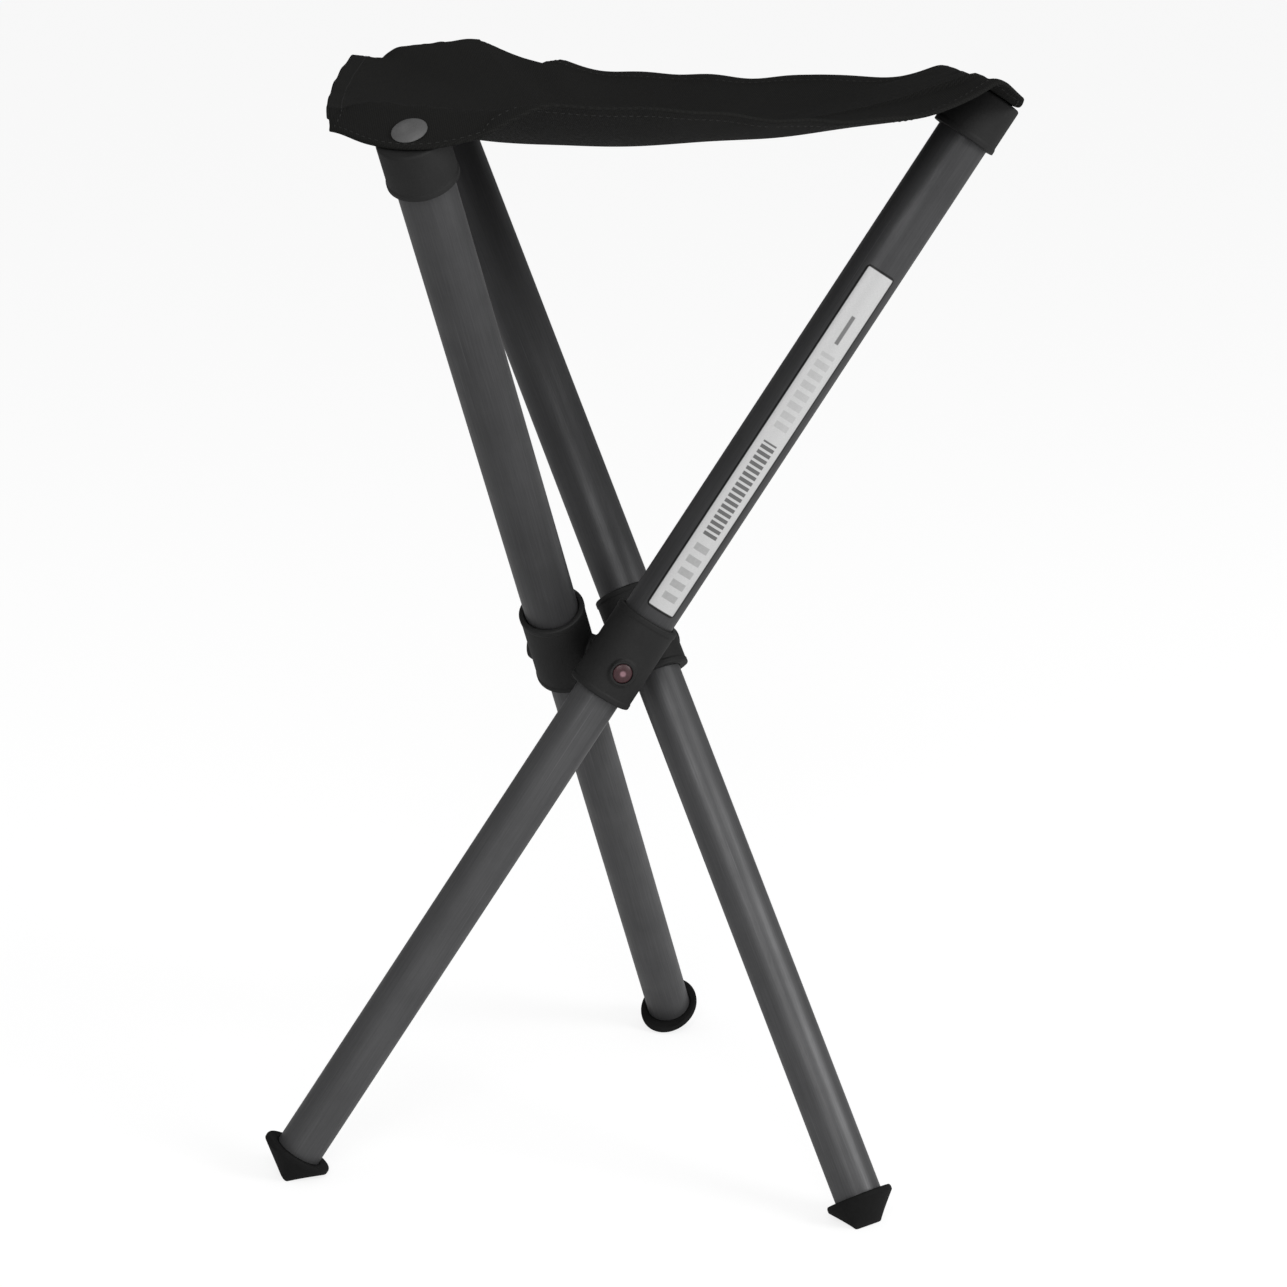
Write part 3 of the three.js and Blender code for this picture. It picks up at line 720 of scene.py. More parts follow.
# A share of the reach from the middle to a straight edge: the seat step works out a point at it,
# towards each leg's corner, and leaves it unused
BLEND_START_SHARE = 0.6


def plan_bearing(leg):
    """Angle of a leg's hinge about the stool's axis, in plan."""
    axis = leg_axes(leg)[0]
    return math.atan2(axis[1], axis[0])


def plan_from_leg(leg, outwards, along):
    """Plan place from a leg's own distances, outwards along its hinge and along its lean."""
    ahead = np.array([math.cos(plan_bearing(leg)), math.sin(plan_bearing(leg))])
    aside = np.array([-ahead[1], ahead[0]])
    return np.multiply.outer(outwards, ahead) + np.multiply.outer(along, aside)


# What the cloth rests on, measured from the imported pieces
CAP_RIM_RISE = 0.4 * MM
_, cap_radius, _, cap_top = round_span("end_cap_1")
cap_body_radius = cap_radius - CAP_RIM_RISE
sleeve_bore = round_span("outer_tube_1")[1] + CLEARANCE
rim_along = cap_top * math.sin(lean) - cap_body_radius * math.cos(lean)
rim_level = cap_top * math.cos(lean) + cap_body_radius * math.sin(lean)
rim_reach = math.hypot(hinge_reach, rim_along)
corner_bearing = plan_bearing(1) + math.atan2(rim_along, hinge_reach)
tip_along = cap_top * math.sin(lean) + CORNER_OVERHANG


def next_leg(leg):
    """The leg after a leg, counted round the stool."""
    return leg % len(LEGS) + 1


def corner_line(leg, across):
    """The cut across a corner, from its outer tip at 1 to its inner tip at -1: it bulges by
    b (1 - c^2), and the outer tip is moved by shares c^2 of its overhang and its spread."""
    outer = np.clip(across, 0, None) ** 2
    outwards = hinge_reach + CORNER_HALF_WIDTH * across + OUTER_TIP_SPREADS[leg - 1] * outer
    along = tip_along + CORNER_BULGE * (1 - across**2) + OUTER_TIP_OVERHANGS[leg - 1] * outer
    return plan_from_leg(leg, outwards, along)


def edge_line(leg, share):
    """The long edge from a leg to the next, bowed outwards by 4 b s (1-s)."""
    start = corner_line(leg, -1.0)
    end = corner_line(next_leg(leg), 1.0)
    ahead = unit(end - start)
    out = np.array([ahead[1], -ahead[0]])
    bow = 4 * EDGE_BOWS[leg - 1] * share * (1 - share)
    return start + (end - start) * share[:, None] + out * bow[:, None]


def hem_line(leg):
    """Hem points of one leg's third of the seat, from the middle of the edge before it to the
    middle of the edge after it, with how far each lies along an edge, which edge, and how much
    it belongs to the corner."""
    back = next_leg(next_leg(leg))
    before = np.linspace(0.5, 1, HALF_EDGE_COLUMNS + 1)
    across = np.linspace(1, -1, CORNER_COLUMNS + 1)[1:-1]
    after = np.linspace(0, 0.5, HALF_EDGE_COLUMNS + 1)
    points = np.vstack([edge_line(back, before), corner_line(leg, across), edge_line(leg, after)])
    share = np.concatenate([before, np.zeros(len(across)), after])
    edge = np.concatenate([np.full(len(before), back), np.full(len(across) + len(after), leg)]) - 1
    corner = np.concatenate([np.zeros(len(before)), np.ones(len(across)), np.zeros(len(after))])
    return points, share, edge, corner


def straight_reach():
    """Distance from the stool's axis to the middle of a long edge with an even bow."""
    start = plan_from_leg(1, hinge_reach - CORNER_HALF_WIDTH, tip_along)
    end = plan_from_leg(2, hinge_reach + CORNER_HALF_WIDTH, tip_along)
    area = abs(start[0] * end[1] - start[1] * end[0])
    return area / np.linalg.norm(end - start) + EVEN_BOW


def soft_minimum(first, second):
    """The lower of two heights, rounded off where they cross."""
    gap = np.abs(first - second) / CREST_ROUND
    return np.minimum(first, second) - CREST_ROUND * np.log1p(np.exp(-gap))


def cloth_underside(plan, edge_lift):
    """Height of the cloth's underside over the hub: a sling a r^2 + b r^3 cos 3w from the caps'
    inner rims, never below the round of a cap or tube, (h + y cos t) / sin t, and over each cap
    the plane of its end, raised or lowered by the squared distance past the cap's side."""
    x, y = plan[..., 0], plan[..., 1]
    rise = BELLY_DROP + CREST_LIFT
    reach = straight_reach() / rim_reach
    cornered = (rise * reach**2 - EDGE_RISE) / (reach**2 + reach**3)
    out = np.hypot(x, y) / rim_reach
    wave = np.cos(len(LEGS) * (np.arctan2(y, x) - corner_bearing))
    height = rim_level - BELLY_DROP + (rise - cornered) * out**2 + cornered * out**3 * wave
    height = height + edge_lift
    for leg in LEGS:
        bearing = plan_bearing(leg)
        outwards = x * math.cos(bearing) + y * math.sin(bearing)
        along = y * math.cos(bearing) - x * math.sin(bearing)
        aside = outwards - hinge_reach
        face = (cap_top + CLEARANCE - along * math.sin(lean)) / math.cos(lean)
        span = CORNER_HALF_WIDTH - cap_body_radius
        beyond = np.clip((np.abs(aside) - cap_body_radius) / span, 0, TIP_SHARE) ** 2
        tip_lift = np.where(aside > 0, OUTER_TIP_LIFTS[leg - 1], INNER_TIP_LIFTS[leg - 1])
        half = np.sqrt(np.clip(PROP_RADIUS**2 - aside**2, 0, None))
        prop = (half + along * math.cos(lean)) / math.sin(lean)
        height = np.where(half > 0, np.maximum(height, prop), height)
        height = soft_minimum(height, face + tip_lift * beyond)
        ear = np.clip(aside / CORNER_HALF_WIDTH, 0, EAR_SHARE) ** EAR_POWER
        height = height - OUTER_EAR_DROOPS[leg - 1] * ear * smooth_step(along, *EAR_SPAN)
    return height


# Folds of the cloth
BELLY_FOLD = 0.3 * MM
BELLY_FOLD_STEP = 9.5 * MM
BELLY_FOLD_WAVE = 37 * MM
BELLY_FOLD_SWAY = 2.1
CROSS_FOLD = 0.25 * MM
CROSS_FOLD_STEP = 13 * MM
CROSS_FOLD_WAVE = 41 * MM
RAY_FOLD = 0.2 * MM
RAYS = 9
RAY_REACH = 30 * MM
RAY_SPREAD = 11 * MM
FLAT_REACH = (14 * MM, 40 * MM)


def cloth_folds(plan):
    """Small folds, always upwards: long soft creases f (1 + sin) in the belly, and rays round
    each rivet, f (1 + sin 9w) in a ring that fades as exp(-d^2)."""
    x, y = plan[..., 0], plan[..., 1]
    sway = BELLY_FOLD_SWAY * np.sin(y / BELLY_FOLD_WAVE)
    folds = BELLY_FOLD * (1 + np.sin(x / BELLY_FOLD_STEP + sway))
    folds = folds + CROSS_FOLD * (1 + np.sin(y / CROSS_FOLD_STEP - x / CROSS_FOLD_WAVE))
    for leg in LEGS:
        rivet = plan_from_leg(leg, hinge_reach, cap_top * math.sin(lean))
        dx, dy = x - rivet[0], y - rivet[1]
        distance = np.hypot(dx, dy)
        rays = 1 + np.sin(RAYS * np.arctan2(dy, dx) + leg)
        ring = np.exp(-(((distance - RAY_REACH) / RAY_SPREAD) ** 2))
        folds = folds * smooth_step(distance, *FLAT_REACH) + RAY_FOLD * rays * ring
    return folds


def edge_dips(edge, share):
    """Slack places along the first long edge, each d cos^2 of its distance from a middle."""
    offset = (share[:, None] - DIP_SHARES) / DIP_WIDTH_SHARES
    shape = np.cos(np.clip(offset, -1, 1) * math.pi / 2) ** 2
    return (shape @ DIP_DEPTHS) * (edge == FAR_EDGE)


def axis_distance(hem):
    """How far the line along the hem at each of its points passes from the stool's axis."""
    tangent = unit(np.gradient(hem, axis=0))
    return np.abs(hem[:, 0] * tangent[:, 1] - hem[:, 1] * tangent[:, 0])


def cloth_surface(leg, inset):
    """Underside points of a leg's third, for grids of distances in from the hem, with the way up
    at each, how much each column belongs to the corner, and the points in plan. The hem's lift,
    a sin^2 + b sin less drops and dips, fades inwards by powers of the share of its distance
    from the middle."""
    hem, share, edge, corner = hem_line(leg)
    scale = np.clip(1 - inset / axis_distance(hem), 0, 1)
    plan = hem * scale[..., None]
    lift = EDGE_LIFTS[edge] * np.sin(math.pi * share) ** 2
    lift = lift + EDGE_TILTS[edge] * np.sin(2 * math.pi * share)
    lift = lift - EDGE_END_DROPS[edge] * smooth_step(share, *END_DROP_SHARES)
    lift = lift - edge_dips(edge, share)
    ripple = HEM_RIPPLE * np.sin(math.pi * share) ** 2
    ripple = ripple * np.sin(HEM_RIPPLES * math.pi * share + 2 * edge)
    lift = lift * scale**LIFT_POWER + ripple * scale**RIPPLE_POWER

    def level(points):
        """Height of the cloth's underside with its folds."""
        return cloth_underside(points, lift) + cloth_folds(points)

    ahead = np.array([SLOPE_STEP, 0.0])
    aside = np.array([0.0, SLOPE_STEP])
    slope_x = (level(plan + ahead) - level(plan - ahead)) / (2 * SLOPE_STEP)
    slope_y = (level(plan + aside) - level(plan - aside)) / (2 * SLOPE_STEP)
    up = unit(np.stack([-slope_x, -slope_y, np.ones_like(slope_x)], -1))
    low = np.concatenate([plan, level(plan)[..., None]], -1)
    return low, up, corner, plan


def stitch_inset(corner, hem_width):
    """Distance in from the edge to the row of stitches, a margin short of the hem's width,
    which is smaller at the corners."""
    return hem_width * (1 - CORNER_HEM_SHARE * corner) - STITCH_MARGIN


def cloth_profile(inset, corner, hem_width):
    """How far the cloth's two faces stand from its underside: the hem's extra thickness, a
    groove along its stitches, and the round edge, a quarter circle on each face."""
    width = hem_width * (1 - CORNER_HEM_SHARE * corner)
    hem = 1 - smooth_step(inset, width - HEM_STEP[0], width + HEM_STEP[1])
    groove = np.exp(-(((inset - stitch_inset(corner, hem_width)) / HEM_GROOVE_WIDTH) ** 2))
    thickness = CLOTH_THICKNESS + HEM_EXTRA * hem - HEM_GROOVE * groove
    fall = np.clip(1 - inset / EDGE_FALL, 0, 1)
    shape = np.sqrt(np.clip(1 - fall**2, 0, 1))
    middle = CLOTH_THICKNESS / 2
    return middle + (thickness - middle) * shape, middle - middle * shape


def inset_rows(leg, hem_width):
    """Distances in from the hem, close together near it and even across the belly."""
    hem = hem_line(leg)[0]
    inner = np.linspace(HEM_FIRST_INSET, hem_width + HEM_PAST, HEM_ROWS)
    near = np.concatenate([ROUND_EDGE_INSETS, inner])[:, None] + np.zeros(len(hem))
    share = np.linspace(0, 1, BELLY_ROWS + 1)[1:, None]
    far = near[-1] + (axis_distance(hem) - near[-1]) * share
    return np.vstack([near, far])


def seat_shells(leg, hem_width):
    """One third of the cloth as a closed shell: its top from the middle to the hem, and its
    underside back from the hem to the middle, closed down both cut sides."""
    inset = inset_rows(leg, hem_width)
    low, up, corner, plan = cloth_surface(leg, inset)
    top_off, low_off = cloth_profile(inset, corner, hem_width)
    top = (low + up * top_off[..., None])[::-1]
    under = (low + up * low_off[..., None])[::-1]
    flat = plan[::-1]
    sheets = [(np.concatenate([top, under[::-1]]), np.concatenate([flat, plan]))]
    for side in (0, -1):
        cut = np.stack([top[:, side], under[:, side]], 1)
        sheets.append((cut, np.stack([flat[:, side], flat[:, side]], 1)))
    shells = []
    for points, places in sheets:
        rows, columns = points.shape[:2]
        row, column = grid_steps(rows, columns, False, False)
        uv = places[row, column].reshape(-1, 2)
        shells.append((points.reshape(-1, 3) + hub_centre, row * columns + column, uv))
    return shells


# Stitches of the hem
STITCH_LENGTH_SHARE = 0.36
STITCH_RADIUS = 0.28 * MM
STITCH_DIP = 0.22 * MM
STITCH_POWER = 0.7
STITCH_STEPS = 7
STITCH_SIDES = 8
STITCH_UV_STEPS = np.array([0.2, 0.25]) * MM


def stitch_shells(leg, hem_width, pitch):
    """Stitches along a leg's hem, above and below: each is a short thread, -l cos p along the
    hem and r sin^0.7 p thick, that dips into the cloth at both ends."""
    corner = hem_line(leg)[3]
    inset = stitch_inset(corner, hem_width)[None, :]
    low, up, _, _ = cloth_surface(leg, inset)
    top_off, low_off = cloth_profile(inset, corner, hem_width)
    line = low[0]
    run = distances(line, False)
    count = int(run[-1] / pitch)
    places = (np.arange(count) + 0.5) * pitch

    def at_places(values):
        """Rows of values along the line, read off at each stitch."""
        return np.stack([np.interp(places, run, column) for column in values.T], -1)

    centre = at_places(line)
    normal = unit(at_places(up[0]))
    ahead = unit(at_places(np.gradient(line, axis=0)))
    aside = unit(np.cross(normal, ahead))
    turn = np.linspace(0, math.pi, STITCH_STEPS)
    ring = circle(STITCH_SIDES)
    thickness = (STITCH_RADIUS * np.sin(turn) ** STITCH_POWER)[:, None]
    along = (-STITCH_LENGTH_SHARE * pitch * np.cos(turn))[:, None] + 0 * ring
    sideways = thickness * np.cos(ring)
    upwards = thickness * np.sin(ring) - (STITCH_DIP * np.cos(turn) ** 2)[:, None]
    row, column = grid_steps(STITCH_STEPS, STITCH_SIDES, False, True)
    corners = row * STITCH_SIDES + column % STITCH_SIDES
    starts = np.arange(count)[:, None, None] * STITCH_STEPS * STITCH_SIDES
    every = (starts + corners[None]).reshape(-1, 4)
    uv = np.stack([column, row], -1).reshape(-1, 2) * STITCH_UV_STEPS
    shells = []
    for off, sense in ((top_off, 1), (low_off, -1)):
        base = centre + normal * np.interp(places, run, off[0])[:, None]
        points = (
            base[:, None, None]
            + ahead[:, None, None] * along[None, ..., None]
            + aside[:, None, None] * sideways[None, ..., None]
            + sense * normal[:, None, None] * upwards[None, ..., None]
        )
        shells.append((points.reshape(-1, 3) + hub_centre, every, np.tile(uv, (count, 1))))
    return shells


def flat_size(leg, hem_width):
    """Width, length and area of a third's cut, measured along its own underside."""
    low = cloth_surface(leg, inset_rows(leg, hem_width))[0]
    across = np.diff(low, axis=1)
    down = np.diff(low, axis=0)
    area = 0.5 * np.linalg.norm(np.cross(across[:-1], down[:, :-1]), axis=-1).sum()
    area = area + 0.5 * np.linalg.norm(np.cross(across[1:], down[:, 1:]), axis=-1).sum()
    length = distances(low[:, low.shape[1] // 2], False)[-1]
    width = distances(low[:, 0], False)[-1] + distances(low[:, -1], False)[-1]
    return float(width), float(length), float(area)


class STOOL_OT_add_seat(bpy.types.Operator):
    """Add the cloth seat in three parts that meet at its middle, with their hem stitches"""

    bl_idname = "stool.add_seat"
    bl_label = "Seat"

    def execute(self, context):
        sizes, colours = choices(context)
        cloth = finish_once("woven_cloth", cloth_finish, colours.cloth, sizes.weave_pitch)
        thread = finish_once("hem_thread", thread_finish, colours.thread)
        for leg in LEGS:
            cloth_shells = seat_shells(leg, sizes.hem_width)
            part = new_object(f"seat_cloth_{leg}", cloth_shells, cloth)
            stitches = stitch_shells(leg, sizes.hem_width, sizes.stitch_pitch)
            hem = new_object(f"hem_stitches_{leg}", stitches, thread)
            corner = plan_from_leg(leg, hinge_reach, rim_along)
            way = unit(np.append(corner, 0.0))
            start = hub_centre + way * BLEND_START_SHARE * straight_reach()
            for piece in (part, hem):
                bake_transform(piece)
            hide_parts("seat_fabric")
            width, length, area = flat_size(leg, sizes.hem_width)
        return {"FINISHED"}


# Leg tubes
TUBE_EDGE = 0.25 * MM


class STOOL_OT_add_tubes(bpy.types.Operator):
    """Add the upper and lower leg tubes"""

    bl_idname = "stool.add_tubes"
    bl_label = "Leg tubes"

    def execute(self, context):
        _, colours = choices(context)
        upper = finish_once("satin_upper_tube", tube_finish, colours.upper_tube)
        lower = finish_once("satin_lower_tube", tube_finish, colours.lower_tube)
        for leg in LEGS:
            for node, name, finish, body in (
                ("outer_tube", "upper_tube", upper, "leg"),
                ("inner_tube", "lower_tube", lower, "inner_leg"),
            ):
                bore, radius, bottom, top = round_span(f"{node}_{leg}")
                ends = [(bore, bottom), (radius, bottom), (radius, top), (bore, top)]
                tube = turned(rounded([end + (TUBE_EDGE,) for end in ends]), TUBE_SIDES)
                add_leg_piece(leg, name, [tube], finish, body, node)
        return {"FINISHED"}


# Label: places along its leg's middle line from the hinge, and turn from the hinge's way out
LABEL_LEG = 1
LABEL_BOTTOM = 32.4 * MM
LABEL_TOP = 216 * MM
LABEL_LENGTH = LABEL_TOP - LABEL_BOTTOM
LABEL_TURN = math.radians(-1)
LABEL_CORNER = 2.2 * MM
LABEL_FILM = 0.14 * MM
LABEL_GAP = 0.02 * MM
LABEL_RIM_POWER = 0.12
LABEL_ROWS = 60
LABEL_CORNER_ROWS = 9
LABEL_COLUMNS = 25


def label_shells(radius, width):
    """A strip bent round the tube: its half width narrows at the ends as a round corner does,
    and its top falls to its underside along its rim, by (1 - c^2)^0.12 across it."""
    ends = LABEL_CORNER * (1 - np.cos(np.linspace(0, math.pi / 2, LABEL_CORNER_ROWS)))
    middle = np.linspace(LABEL_CORNER, LABEL_LENGTH - LABEL_CORNER, LABEL_ROWS)[1:-1]
    run = np.concatenate([ends, middle, LABEL_LENGTH - ends[::-1]])
    half = width / 2 - corner_drop(np.minimum(run, LABEL_LENGTH - run), LABEL_CORNER)
    across = np.linspace(-1, 1, LABEL_COLUMNS)
    rim = np.clip(1 - across**2, 0, None) ** LABEL_RIM_POWER
    angle = LABEL_TURN + half[:, None] * across / radius
    level = LABEL_BOTTOM + run[:, None]
    top = round_points(radius + LABEL_GAP + LABEL_FILM * rim, level, angle)
    under = round_points(radius + LABEL_GAP, level, angle)
    loop = np.concatenate([top, under[:, ::-1]], 1)
    around = width / 2 * (1 + np.concatenate([across, across[::-1], across[:1]]))
    shells = [shell(loop, run, around, False, True)]
    for index, place in ((0, 0.0), (-1, LABEL_LENGTH)):
        end = np.stack([top[index], under[index]])
        shells.append(shell(end, np.array([place, place]), around[:LABEL_COLUMNS]))
    return shells


class STOOL_OT_add_label(bpy.types.Operator):
    """Add the plain printed strip on the first leg's upper tube"""

    bl_idname = "stool.add_label"
    bl_label = "Label"

    def execute(self, context):
        sizes, colours = choices(context)
        terms = (colours.label, sizes.label_width, LABEL_LENGTH)
        finish = finish_once("label_film", label_finish, *terms)
        shells = label_shells(round_span(f"outer_tube_{LABEL_LEG}")[1], sizes.label_width)
        label = leg_object(LABEL_LEG, "tube_label", shells, finish)
        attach(label, f"leg_{LABEL_LEG}")
        return {"FINISHED"}


# Collars: the edges' pairs are how far a boss falls inside and outside its radius, and the
# radii that the pocket falls between. A wall faces a flat where its cosine is over the limit
COLLAR_LIP = 1.7 * MM
COLLAR_CHAMFER = 0.6 * MM
COLLAR_RIM_RISE = 0.35 * MM
COLLAR_RIM_HEIGHT = 2.4 * MM
COLLAR_RIM_SLOPE = 0.8 * MM
COLLAR_ROWS = 150
PIVOT_BOSS_RADIUS = 8 * MM
HOUSING_RADIUS = 6.5 * MM
HOUSING_RISE = 0.5 * MM
BOSS_EDGE = (0.7 * MM, 0.9 * MM)
FACING_LIMIT = 0.3
POCKET_EDGE = (5.2 * MM, 5.7 * MM)
POCKET_WALL = 0.6 * MM
BEZEL_BORE = 4.75 * MM
BEZEL_RADIUS = 5.9 * MM
BEZEL_RISE = 0.35 * MM
BEZEL_ROUND = 0.35 * MM
BEZEL_ROOT = 0.3 * MM


def collar_shells(leg, edge):
    """The sleeve: a turned profile whose wall is pushed out, by angle and height, to the flat
    of the round pivot boss on one side and to the button's housing on the other."""
    _, _, bottom, top = round_span(f"collar_{leg}")
    face, crown, _ = outward_span(f"collar_{leg}")
    lip_bore = round_span(f"outer_tube_{leg}")[0]
    radius = crown - HOUSING_RISE
    side = np.linspace(bottom, top, COLLAR_ROWS)
    nearest = np.minimum(side - bottom, top - side)
    rim = 1 - smooth_step(nearest, COLLAR_RIM_HEIGHT, COLLAR_RIM_HEIGHT + COLLAR_RIM_SLOPE)
    outside = radius + COLLAR_RIM_RISE * rim - corner_drop(nearest, edge)
    angle = circle(MOULDING_SIDES)
    reach = np.repeat(outside[:, None], MOULDING_SIDES, axis=1)
    level = side[:, None]

    def disc(outward, flat, start, end):
        """How far out a flat lies at each angle, f / cos a, and 1 inside a disc's edge on it."""
        forward = np.clip(outward, FACING_LIMIT, None)
        distance = np.hypot(flat * np.sin(angle) / forward, level)
        inside = (1 - smooth_step(distance, start, end)) * (outward > FACING_LIMIT)
        return flat / forward, inside

    for outward, flat, boss in (
        (-np.cos(angle), -face, PIVOT_BOSS_RADIUS),
        (np.cos(angle), crown, HOUSING_RADIUS),
    ):
        pushed, inside = disc(outward, flat, boss - BOSS_EDGE[0], boss + BOSS_EDGE[1])
        reach = reach + (np.maximum(pushed, reach) - reach) * inside
    _, pocket = disc(np.cos(angle), crown, *POCKET_EDGE)
    reach = reach + (sleeve_bore + POCKET_WALL - reach) * pocket
    inner = rounded([
        (sleeve_bore + COLLAR_CHAMFER, top, CRISP), (sleeve_bore, top - COLLAR_CHAMFER, FINE),
        (sleeve_bore, bottom + COLLAR_LIP, CRISP), (lip_bore, bottom + COLLAR_LIP, FINE),
        (lip_bore, bottom, SOFT),
    ])
    wall = round_points(reach, level, angle)
    loop = np.concatenate([wall, round_points(inner[:, :1], inner[:, 1:], angle)])
    along = distances(np.concatenate([np.stack([outside, side], -1), inner]), True)
    sleeve = shell(loop, along, girth(MOULDING_SIDES, radius), True, True)
    root = sleeve_bore + BEZEL_ROOT
    bezel = rounded([
        (BEZEL_BORE, root, CRISP), (BEZEL_RADIUS, root, CRISP),
        (BEZEL_RADIUS, crown + BEZEL_RISE, BEZEL_ROUND), (BEZEL_BORE, crown + BEZEL_RISE, SOFT),
    ])
    return [sleeve, turned(bezel, SMALL_SIDES, along_x=True)]


class STOOL_OT_add_collars(bpy.types.Operator):
    """Add the moulded collars that carry the hinges and the lock buttons"""

    bl_idname = "stool.add_collars"
    bl_label = "Collars"

    def execute(self, context):
        sizes, colours = choices(context)
        finish = finish_once("textured_moulding", moulding_finish, colours.moulding)
        for leg in LEGS:
            shells = collar_shells(leg, sizes.edge_round)
            add_leg_piece(leg, "collar_shell", shells, finish, "leg", "collar")
        return {"FINISHED"}


# Lock buttons
BUTTON_RADIUS = 4.4 * MM
BUTTON_CROWN = 0.85 * MM
BUTTON_DIMPLE = 0.3 * MM
BUTTON_DIMPLE_SHARE = 0.3
BUTTON_EDGE = 0.35 * MM
BUTTON_TRAVEL = 1.2 * MM
BUTTON_FLANGE = 0.6 * MM
BUTTON_STEM_RADIUS = 2.7 * MM
BUTTON_STEPS = 14


def button_profile(leg):
    """Radius and distance out along the hinge: a crown that falls by c s^2, with a dimple
    d exp(-(s / w)^2) in its middle, a flange that can travel to the sleeve, and a stem."""
    inner, crown, flange = outward_span(f"lock_button_{leg}")
    share = np.linspace(0, 1, BUTTON_STEPS)
    dimple = BUTTON_DIMPLE * np.exp(-((share / BUTTON_DIMPLE_SHARE) ** 2))
    domed = crown - BUTTON_CROWN * share**2 - dimple
    top = np.stack([share * (BUTTON_RADIUS - BUTTON_EDGE), domed], -1)
    shoulder = sleeve_bore + BUTTON_TRAVEL
    rim = shoulder + BUTTON_FLANGE
    side = [
        (BUTTON_RADIUS, domed[-1], SOFT), (BUTTON_RADIUS, rim, CRISP), (flange, rim, CRISP),
        (flange, shoulder, CRISP), (BUTTON_STEM_RADIUS, shoulder, CRISP),
        (BUTTON_STEM_RADIUS, inner, CRISP),
    ]
    return np.vstack([top, rounded(side, wrap=False), [[0.0, inner]]])


class STOOL_OT_add_buttons(bpy.types.Operator):
    """Add the push buttons, each with a shallow thumb dimple"""

    bl_idname = "stool.add_buttons"
    bl_label = "Lock buttons"

    def execute(self, context):
        _, colours = choices(context)
        # The buttons' own colour and the colour of their painted highlight
        terms = (colours.button, colours.button_highlight, BUTTON_RADIUS)
        finish = finish_once("glossy_button", button_finish, *terms)
        for leg in LEGS:
            button = turned(button_profile(leg), SMALL_SIDES, wrap=False, along_x=True)
            add_leg_piece(leg, "push_button", [button], finish, "button", "lock_button")
        return {"FINISHED"}


# End caps
CAP_HOLE = 3.3 * MM
CAP_PLUG_WALL = 2.4 * MM
CAP_PLUG_LENGTH = 10 * MM
CAP_SKIRT = 16.5 * MM
CAP_RIM_HEIGHT = 2.2 * MM
CAP_RIM_END = 3 * MM
CAP_ROUND = 0.4 * MM
CAP_TOP_ROUND_SHARE = 1.6


def cap_profile(leg, edge):
    """Radius and height: a holed crown, a hollow plug in the tube, and a skirt with a rim."""
    _, rim, _, top = round_span(f"end_cap_{leg}")
    tube_bore, _, _, tube_top = round_span(f"outer_tube_{leg}")
    radius = rim - CAP_RIM_RISE
    inside = tube_top + CLEARANCE
    plug_end = inside - CAP_PLUG_LENGTH
    skirt = tube_top - CAP_SKIRT
    plug = tube_bore - CLEARANCE
    hollow = plug - CAP_PLUG_WALL
    return rounded([
        (CAP_HOLE, inside, CRISP), (hollow, inside, SOFT), (hollow, plug_end, SOFT),
        (plug, plug_end, CAP_ROUND), (plug, inside, CRISP), (sleeve_bore, inside, CRISP),
        (sleeve_bore, skirt, SOFT), (rim, skirt, BROAD),
        (rim, skirt + CAP_RIM_HEIGHT, CAP_ROUND), (radius, skirt + CAP_RIM_END, BROAD),
        (radius, top, CAP_TOP_ROUND_SHARE * edge), (CAP_HOLE, top, SOFT),
    ])


class STOOL_OT_add_caps(bpy.types.Operator):
    """Add the moulded caps on the upper tubes' ends"""

    bl_idname = "stool.add_caps"
    bl_label = "End caps"

    def execute(self, context):
        sizes, colours = choices(context)
        finish = finish_once("textured_moulding", moulding_finish, colours.moulding)
        for leg in LEGS:
            cap = turned(cap_profile(leg, sizes.edge_round), TUBE_SIDES)
            add_leg_piece(leg, "cap", [cap], finish, "leg", "end_cap")
        return {"FINISHED"}


# Seat rivets
RIVET_HEAD_HEIGHT = 1.8 * MM
RIVET_RIM_HEIGHT = 0.6 * MM
RIVET_RIM_INSET = 0.5 * MM
RIVET_DOME = 1.2 * MM
RIVET_DOME_POWER = 2.4
RIVET_DISH = 0.35 * MM
RIVET_DISH_SHARE = 0.45
RIVET_EDGE = 0.25 * MM
RIVET_BASE_RADIUS = 4.6 * MM
RIVET_BASE_HEIGHT = 1.5 * MM
RIVET_STEM_RADIUS = 3 * MM
RIVET_STEPS = 12


def rivet_profile(leg):
    """Radius and height: a base and a stem in the cap, and a head whose crown falls by
    c s^2.4, with a dish d exp(-(s / w)^2) in its middle."""
    _, head, bottom, top = round_span(f"seat_rivet_{leg}")
    share = np.linspace(1, 0, RIVET_STEPS)
    dish = RIVET_DISH * np.exp(-((share / RIVET_DISH_SHARE) ** 2))
    fall = RIVET_DOME * share**RIVET_DOME_POWER
    crown = np.stack([share * (head - RIVET_RIM_INSET), top - fall - dish], -1)
    base = bottom + RIVET_BASE_HEIGHT
    under = top - RIVET_HEAD_HEIGHT
    side = [
        (RIVET_BASE_RADIUS, bottom, FINE), (RIVET_BASE_RADIUS, base, FINE),
        (RIVET_STEM_RADIUS, base, CRISP), (RIVET_STEM_RADIUS, under, CRISP),
        (head, under, RIVET_EDGE), (head, under + RIVET_RIM_HEIGHT, RIVET_EDGE),
    ]
    return np.vstack([[[0.0, bottom]], rounded(side, wrap=False), crown])


